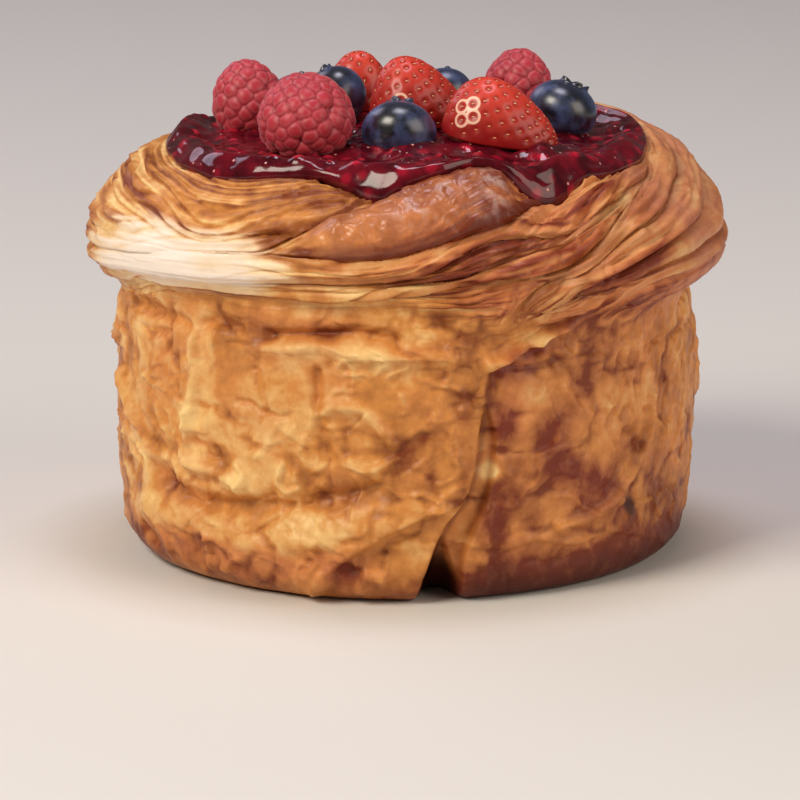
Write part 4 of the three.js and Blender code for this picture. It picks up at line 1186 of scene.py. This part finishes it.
def drupelet_centres(width, tall, seed):
    """Even places over the fruit, each turned on from the last by the golden angle."""
    draw = np.random.default_rng(seed)
    count = round(3.6 * math.pi * (width / 2 - 0.8) * (tall / 2 - 0.8) / (0.87 * DRUPELET ** 2))
    k = np.arange(count) + 0.5
    rise = np.clip(np.arccos(1 - 2 * k / count) / math.pi + draw.normal(0, 0.008, count), 0, 1)
    return raspberry_core(k * GOLDEN_ANGLE + draw.normal(0, 0.09, count), rise, width, tall)


# %% Mesh of a raspberry
def make_raspberry(name, place, size, lean, seed):
    turn_at, rise = sphere_grid(170, 110)
    core = raspberry_core(turn_at, rise, *size)
    centres = drupelet_centres(*size, seed)
    out = np.stack(np.broadcast_arrays(np.cos(turn_at), np.sin(turn_at), 0 * rise), -1)
    out = out * np.sin(math.pi * rise)[..., None]
    out[..., 2] = -np.cos(math.pi * rise)
    distances = np.sort(np.linalg.norm(core[..., None, :] - centres, axis=-1))
    first, second = distances[..., 0], distances[..., 1]  # to the nearest drupelets
    groove = np.exp(-(second - first) / 0.3)
    rim_light = np.exp(-((second - first - 0.6) / 0.3) ** 2)
    swell = 1.15 * np.sqrt(np.clip(1 - (first / (0.77 * DRUPELET)) ** 2, 0, 1)) + 0.1 * (1 - groove)
    points = turned(core + out * swell[..., None], lean, place)
    print(name, "has", len(centres), "drupelets")
    return [grid_mesh(name + "_fruit", points, attributes=dict(groove=groove, rim_light=rim_light))]


# %% [markdown]
# ### Raspberry skin
# The skin is thin and full of juice, so light goes in and comes out red. Each drupelet gets a faint
# pale rim beside the grooves, which is a painted highlight, and the grooves are darkened as painted
# shade. A fine down covers it, which turns the parts that face away from the eye pale and dusty:
# that is sheen, not gloss. The down is drawn as bump of a quarter of a millimetre, coarser than
# real, so that it shows at all.

# %% Raspberry skin material
def raspberry_skin():
    made, tree, shader, place = new_material(
        "raspberry_skin", Roughness=0.48, IOR=1.4, Subsurface_Weight=0.3, Subsurface_Scale=1.5 * MM,
        Sheen_Weight=0.5, Sheen_Roughness=0.35, Coat_Weight=0.12, Coat_Roughness=0.3)
    shader.inputs["Subsurface Radius"].default_value = (1.0, 0.2, 0.2)
    shader.inputs["Sheen Tint"].default_value = linear("#ffc2c4")
    cloud = add(tree, "ShaderNodeTexNoise", {
        "Vector": place, "Scale": per_metre(3), "Detail": 3}).outputs["Fac"]
    colour = add(tree, "ShaderNodeMix", {
        0: cloud, 6: linear("#960f22"), 7: linear("#c63c4a")}, data_type="RGBA").outputs[2]
    # rim_light is a painted highlight, and groove is painted shade between the drupelets
    for key, strength, tint in (("rim_light", 0.22, "#e28c92"), ("groove", 0.6, "#7c101f")):
        share = add(tree, "ShaderNodeAttribute", attribute_name=key).outputs["Fac"]
        share = add(tree, "ShaderNodeMath", {0: share, 1: strength}, operation="MULTIPLY").outputs[0]
        colour = add(tree, "ShaderNodeMix", {
            0: share, 6: colour, 7: linear(tint)}, data_type="RGBA").outputs[2]
    tree.links.new(colour, shader.inputs["Base Color"])
    down = add(tree, "ShaderNodeTexNoise", {
        "Vector": place, "Scale": per_metre(0.25), "Detail": 2}).outputs["Fac"]
    down = add(tree, "ShaderNodeBump", {
        "Height": down, "Strength": 0.25, "Distance": 0.06 * MM}).outputs[0]
    tree.links.new(down, shader.inputs["Normal"])
    return made


# %% [markdown]
# ## Blueberries
# A blueberry is a slightly flattened ball with a star-shaped crown, what is left of the flower.
# The crown is a ring of five short lobes round a shallow cup, raised from the same sheet. Its
# edge is ragged, and the ball is a little uneven, since no berry is a true ball.

# %% Mesh of a blueberry
CROWN_R, CUP_R = 2.5, 1.6  # outside and inside of the crown's wall, in mm
CROWN_WALL = 0.42  # half its thickness, in mm
LOBE_HEIGHT, LOBES = 0.8, 5
CUP_DEPTH = 0.9


def make_blueberry(name, place, size, lean, seed):
    turn_at, rise = sphere_grid(110, 90)
    rise = rise ** 0.8
    width, tall = size
    tilt = math.pi * rise
    r = width / 2 * np.sin(tilt)
    z = -np.cos(tilt) * tall / 2
    pole = np.where(rise > 0.5, r, 99)  # mm from the axis, on the upper half only
    lobe = 0.5 + 0.5 * np.cos(LOBES * turn_at + seed)
    ragged = 0.25 * np.sin(11 * turn_at + seed * 2)
    wall = np.exp(-((pole - (CROWN_R + CUP_R) / 2) / CROWN_WALL) ** 2)
    wall = wall * (0.35 + 0.65 * lobe + 0.1 * ragged)
    cup = smoothstep(-pole, -CUP_R, -0.6)
    z = z + LOBE_HEIGHT * wall - CUP_DEPTH * cup
    r = r + 0.55 * wall * lobe
    points = np.stack([r * np.cos(turn_at), r * np.sin(turn_at), z], -1)
    points = points + 0.09 * noise(points + 50 * seed, 3.5, seed)[..., None] * points / (width / 2)
    crown_map = np.clip(wall * 1.4 + cup, 0, 1)
    points = turned(points, lean, place)
    return [grid_mesh(name + "_fruit", points, attributes=dict(calyx=crown_map))]


# %% [markdown]
# ### Blueberry skin
# The skin is almost black. A wax bloom makes it look pale blue and matt where nothing has rubbed
# it off, so the colour and the roughness follow the same patches of noise. Where the bloom is
# gone the skin is smooth. The dried crown is darker than the rest.

# %% Blueberry skin material
def blueberry_skin():
    made, tree, shader, place = new_material(
        "blueberry_skin_with_bloom", IOR=1.45, Coat_Weight=0.9, Coat_Roughness=0.3, Sheen_Weight=0.3,
        Sheen_Roughness=0.5)
    shader.inputs["Sheen Tint"].default_value = linear("#8f9fe0")
    calyx = add(tree, "ShaderNodeAttribute", attribute_name="calyx").outputs["Fac"]
    bloom = add(tree, "ShaderNodeTexNoise", {
        "Vector": place, "Scale": per_metre(6), "Detail": 6, "Roughness": 0.6}).outputs["Fac"]
    bloom = add(tree, "ShaderNodeMapRange", {0: bloom, 1: 0.44, 2: 0.62}).outputs[0]
    colour = add(tree, "ShaderNodeMix", {
        0: bloom, 6: linear("#020308"), 7: linear("#3a4a76")}, data_type="RGBA").outputs[2]
    colour = add(tree, "ShaderNodeMix", {
        0: calyx, 6: colour, 7: linear("#08080e")}, data_type="RGBA").outputs[2]
    tree.links.new(colour, shader.inputs["Base Color"])
    rough = add(tree, "ShaderNodeMapRange", {0: bloom, 3: 0.28, 4: 0.6}).outputs[0]
    tree.links.new(rough, shader.inputs["Roughness"])
    return made


# %% [markdown]
# ## Strawberry halves
# Small strawberries were cut in half and laid cut face down. Their skin is smooth and shiny,
# with a seed in each of its many small pits. The pits are dents in the mesh, spread by the rule
# that also spreads the seeds of a sunflower. Each seed is a small pointed drop in its pit. The
# seeds are a mesh beside the skin's, whose grid is too coarse for anything so small.

# %% Form of a strawberry half, and places of its pits
HALF_SLOPE = 0.36  # how much higher the half is at its stalk end than at its tip
PIT_APART, PIT_R, PIT_DEPTH = 2.1, 0.5, 0.26  # mm


def strawberry_form(turn_at, rise, length, width, tall):
    """The half's skin: a dome that narrows to its tip, over a nearly flat cut face."""
    tilt = math.pi * rise
    around, up = np.sin(tilt), -np.cos(tilt)
    tip = np.cos(turn_at) * around
    y = np.sin(turn_at) * around * width / 2 * (1 - 0.28 * tip)
    z = np.where(up > 0, up * tall * (1 - HALF_SLOPE * tip), up * 1.2)
    return np.stack([tip * length / 2, y, z], -1)


def pit_places(length, width, tall, seed):
    """Pits over the dome of the half, evenly spread, with the way out of each."""
    area = 2 * math.pi * ((length + width) / 4) ** 1.2 * tall ** 0.8
    count = round(area / PIT_APART ** 2)
    k = np.arange(count) + 0.5
    up = 1 - 0.93 * k / count
    rise = 1 - np.arccos(up) / math.pi
    turn_at = k * GOLDEN_ANGLE + seed
    here = strawberry_form(turn_at, rise, length, width, tall)
    beside = strawberry_form(turn_at + 0.02, rise, length, width, tall)
    above = strawberry_form(turn_at, rise + 0.004, length, width, tall)
    out = np.cross(beside - here, above - here)
    return here, out / np.linalg.norm(out, axis=1, keepdims=True)


# %% Seeds of a strawberry half
SEED_LENGTH, SEED_WIDTH = 0.6, 0.3  # mm


def seed_drops(pits, outs):
    """Small pointed drops, one in each pit, as points and faces."""
    points, faces = [], []
    around, rows = 8, 6
    for pit, out in zip(pits, outs):
        side = np.cross(out, [1, 0, 0.2])
        side /= np.linalg.norm(side)
        long_way = np.cross(side, out)
        start = len(points)
        for i in range(rows + 1):
            s = i / rows
            thick = math.sin(math.pi * min(s * 0.9 + 0.05, 1)) ** 0.8
            for j in range(around):
                a = 2 * math.pi * j / around
                point = (pit - out * (PIT_DEPTH * 0.72) + long_way * (s - 0.5) * SEED_LENGTH
                         + (side * math.cos(a) + out * math.sin(a) * 0.8) * thick * SEED_WIDTH / 2)
                points.append(point)
        for i in range(rows):
            for j in range(around):
                n = (j + 1) % around
                a, b = start + i * around, start + (i + 1) * around
                faces.append((a + j, a + n, b + n, b + j))
        faces.append(tuple(start + j for j in reversed(range(around))))
        faces.append(tuple(start + rows * around + j for j in range(around)))
    return np.array(points), faces


# %% Mesh of a strawberry half
# pale rings round some pits: place on the half in mm, and how many of the pits nearest to it
RINGED = {"strawberry_front": ((-7.6, -6.5, 5.0), 4), "strawberry_middle": ((-4.2, -5, 4.4), 1)}


def make_strawberry(name, place, size, lean, seed):
    turn_at, rise = sphere_grid(160, 90)
    form = strawberry_form(turn_at, rise, *size)
    pits, outs = pit_places(*size, seed)
    d = np.linalg.norm(form[..., None, :] - pits, axis=-1)
    nearest = d.argmin(-1)
    d = d.min(-1)
    dent = PIT_DEPTH * np.exp(-(d / PIT_R) ** 2)
    form = form - outs[nearest] * dent[..., None]
    form = form + 0.12 * noise(form + 9 * seed, 4, seed)[..., None] * [0, 0, 1] * (form[..., 2:] > 0)
    middle, count = RINGED.get(name, ((0, 0, 0), 0))
    ringed = pits[np.argsort(np.linalg.norm(pits - middle, axis=1))[:count]]
    off = np.linalg.norm(form[..., None, :] - ringed, axis=-1).min(-1, initial=9)
    berry = grid_mesh(name + "_fruit", turned(form, lean, place),
                      attributes=dict(pit=d, ringed=off, up=form[..., 2] / size[2]))
    points, faces = seed_drops(pits, outs)
    mesh = bpy.data.meshes.new(name + "_seeds")
    mesh.from_pydata((turned(points, lean, place) * MM).tolist(), [], faces)
    mesh.shade_smooth()
    seeds = bpy.data.objects.new(name + "_seeds", mesh)
    bpy.context.scene.collection.objects.link(seeds)
    print(name, "has", len(pits), "seeds")
    return [berry, seeds]


# %% [markdown]
# ### Strawberry skin and seeds
# The skin is a thin clear film over red flesh, so it shines a little and light goes in. Painted
# light makes it brightest on top of the half, and painted shade darker towards the cut and in the
# pits. Round a few pits it has pale rings, which are drawn from the distance to those pits. The
# seeds are dry and straw-coloured.

# %% Strawberry skin
def strawberry_skin():
    made, tree, shader, place = new_material(
        "strawberry_skin", Roughness=0.42, IOR=1.4, Subsurface_Weight=0.25, Subsurface_Scale=1.5 * MM,
        Coat_Weight=0.3, Coat_Roughness=0.24)
    shader.inputs["Subsurface Radius"].default_value = (1.0, 0.25, 0.15)
    read = {key: add(tree, "ShaderNodeAttribute", attribute_name=key).outputs["Fac"]
            for key in ("pit", "ringed", "up")}
    cloud = add(tree, "ShaderNodeTexNoise", {
        "Vector": place, "Scale": per_metre(6), "Detail": 3}).outputs["Fac"]
    lit = add(tree, "ShaderNodeMath", {0: cloud, 1: read["up"]}, operation="ADD").outputs[0]
    lit = add(tree, "ShaderNodeMapRange", {0: lit, 1: 0.6, 2: 1.6}).outputs[0]
    colour = add(tree, "ShaderNodeMix", {
        0: lit, 6: linear("#920e0e"), 7: linear("#d4432f")}, data_type="RGBA").outputs[2]

    # pit and ringed hold mm: painted shade darkens a pit, and it is pale from 0.9 to 1.35 mm off a ringed
    # one
    off_pit = add(tree, "ShaderNodeMapRange", {0: read["pit"], 1: 0.3, 2: 0.75}).outputs[0]
    colour = add(tree, "ShaderNodeMix", {
        0: off_pit, 6: linear("#a01a12"), 7: colour}, data_type="RGBA").outputs[2]
    outside = add(tree, "ShaderNodeMapRange", {0: read["ringed"], 1: 0.85, 2: 0.95}).outputs[0]
    inside = add(tree, "ShaderNodeMapRange", {0: read["ringed"], 1: 1.4, 2: 1.3}).outputs[0]
    pale_rings = add(tree, "ShaderNodeMath", {0: outside, 1: inside}, operation="MULTIPLY").outputs[0]
    colour = add(tree, "ShaderNodeMix", {
        0: pale_rings, 6: colour, 7: linear("#f0bfa6")}, data_type="RGBA").outputs[2]
    tree.links.new(colour, shader.inputs["Base Color"])
    return made


# %% Strawberry seeds
def strawberry_seed():
    made, tree, shader, place = new_material("strawberry_seed", Roughness=0.4, IOR=1.45)
    cloud = add(tree, "ShaderNodeTexNoise", {
        "Vector": place, "Scale": per_metre(1.5), "Detail": 2}).outputs["Fac"]
    colour = add(tree, "ShaderNodeMix", {
        0: cloud, 6: linear("#cc7c4c"), 7: linear("#efb68a")}, data_type="RGBA").outputs[2]
    tree.links.new(colour, shader.inputs["Base Color"])
    return made


# %% [markdown]
# ## All berries
# Each berry of the list is made by the maker of its kind, gets the skin of its kind and stands for
# the solid of the same name. A strawberry half also brings its seeds as a second piece.

# %% All berries
skins = dict(raspberry=raspberry_skin(), blueberry=blueberry_skin(), strawberry=strawberry_skin())
seed_finish = strawberry_seed()
makers = dict(raspberry=make_raspberry, blueberry=make_blueberry, strawberry=make_strawberry)
for number, (name, place, size, lean) in enumerate(BERRIES):
    kind = name.split("_")[0]
    fruit, *seeds = makers[kind](name, place, size, lean, number + 1)
    fruit.data.materials.append(skins[kind])
    for piece in (fruit, *seeds):
        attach(piece, "root")
    for piece in seeds:
        piece.data.materials.append(seed_finish)
    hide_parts(name)
print(len(BERRIES), "berries")

# %% [markdown]
# ## Floor and light
# A plain pale floor and large soft lamps, as in a small studio: the key from the upper left, a
# weaker fill from the right, one from above that lights the berries, and a weak one from behind
# at the left that gives the glossy fruit its edge. A dim pale world fills the deepest shadows.

# %% Floor
FLOOR_HALF = 4.0  # metres
floor_mesh = bpy.data.meshes.new("floor")
corners = [(x * FLOOR_HALF, y * FLOOR_HALF, 0) for x, y in ((-1, -1), (1, -1), (1, 1), (-1, 1))]
floor_mesh.from_pydata(corners, [], [(0, 1, 2, 3)])
floor = bpy.data.objects.new("floor", floor_mesh)
bpy.context.scene.collection.objects.link(floor)
pale_board, _, board_shader, _ = new_material("pale_matt_board", Roughness=0.8)
board_shader.inputs["Base Color"].default_value = linear("#d9d6d0")
floor_mesh.materials.append(pale_board)


# %% Lamps
LIT_POINT_Z = 0.05  # metres; every lamp points at the middle of the roll
# name, place in metres, watts, side in metres, tint
LAMPS = [
    ("key", (-0.6, -0.55, 0.72), 9.3, 0.5, "#fff6e6"),
    ("fill", (0.85, -0.5, 0.45), 5.8, 0.8, "#fff1e2"),
    ("top", (0.05, 0.1, 1.3), 5.9, 0.45, "#f2eeff"),
    ("back", (-0.8, 0.75, 0.75), 2.8, 0.6, "#efe6ff"),
]
for name, place, power, size, tint in LAMPS:
    light = bpy.data.lights.new(name, "AREA")
    light.energy = power
    light.size = size
    light.color = linear(tint)[:3]
    lamp = bpy.data.objects.new(name, light)
    lamp.location = place
    x, y, z = place[0], place[1], place[2] - LIT_POINT_Z
    lamp.rotation_euler = (math.atan2(math.hypot(x, y), z), 0, math.atan2(x, -y))
    bpy.context.scene.collection.objects.link(lamp)
print(len(LAMPS), "lamps")

# %% World and view
world = bpy.data.worlds.new("studio")
world.use_nodes = True
world.node_tree.nodes["Background"].inputs["Color"].default_value = linear("#f4f2ee")
world.node_tree.nodes["Background"].inputs["Strength"].default_value = 0.09
bpy.context.scene.world = world
bpy.context.scene.view_settings.view_transform = "Standard"
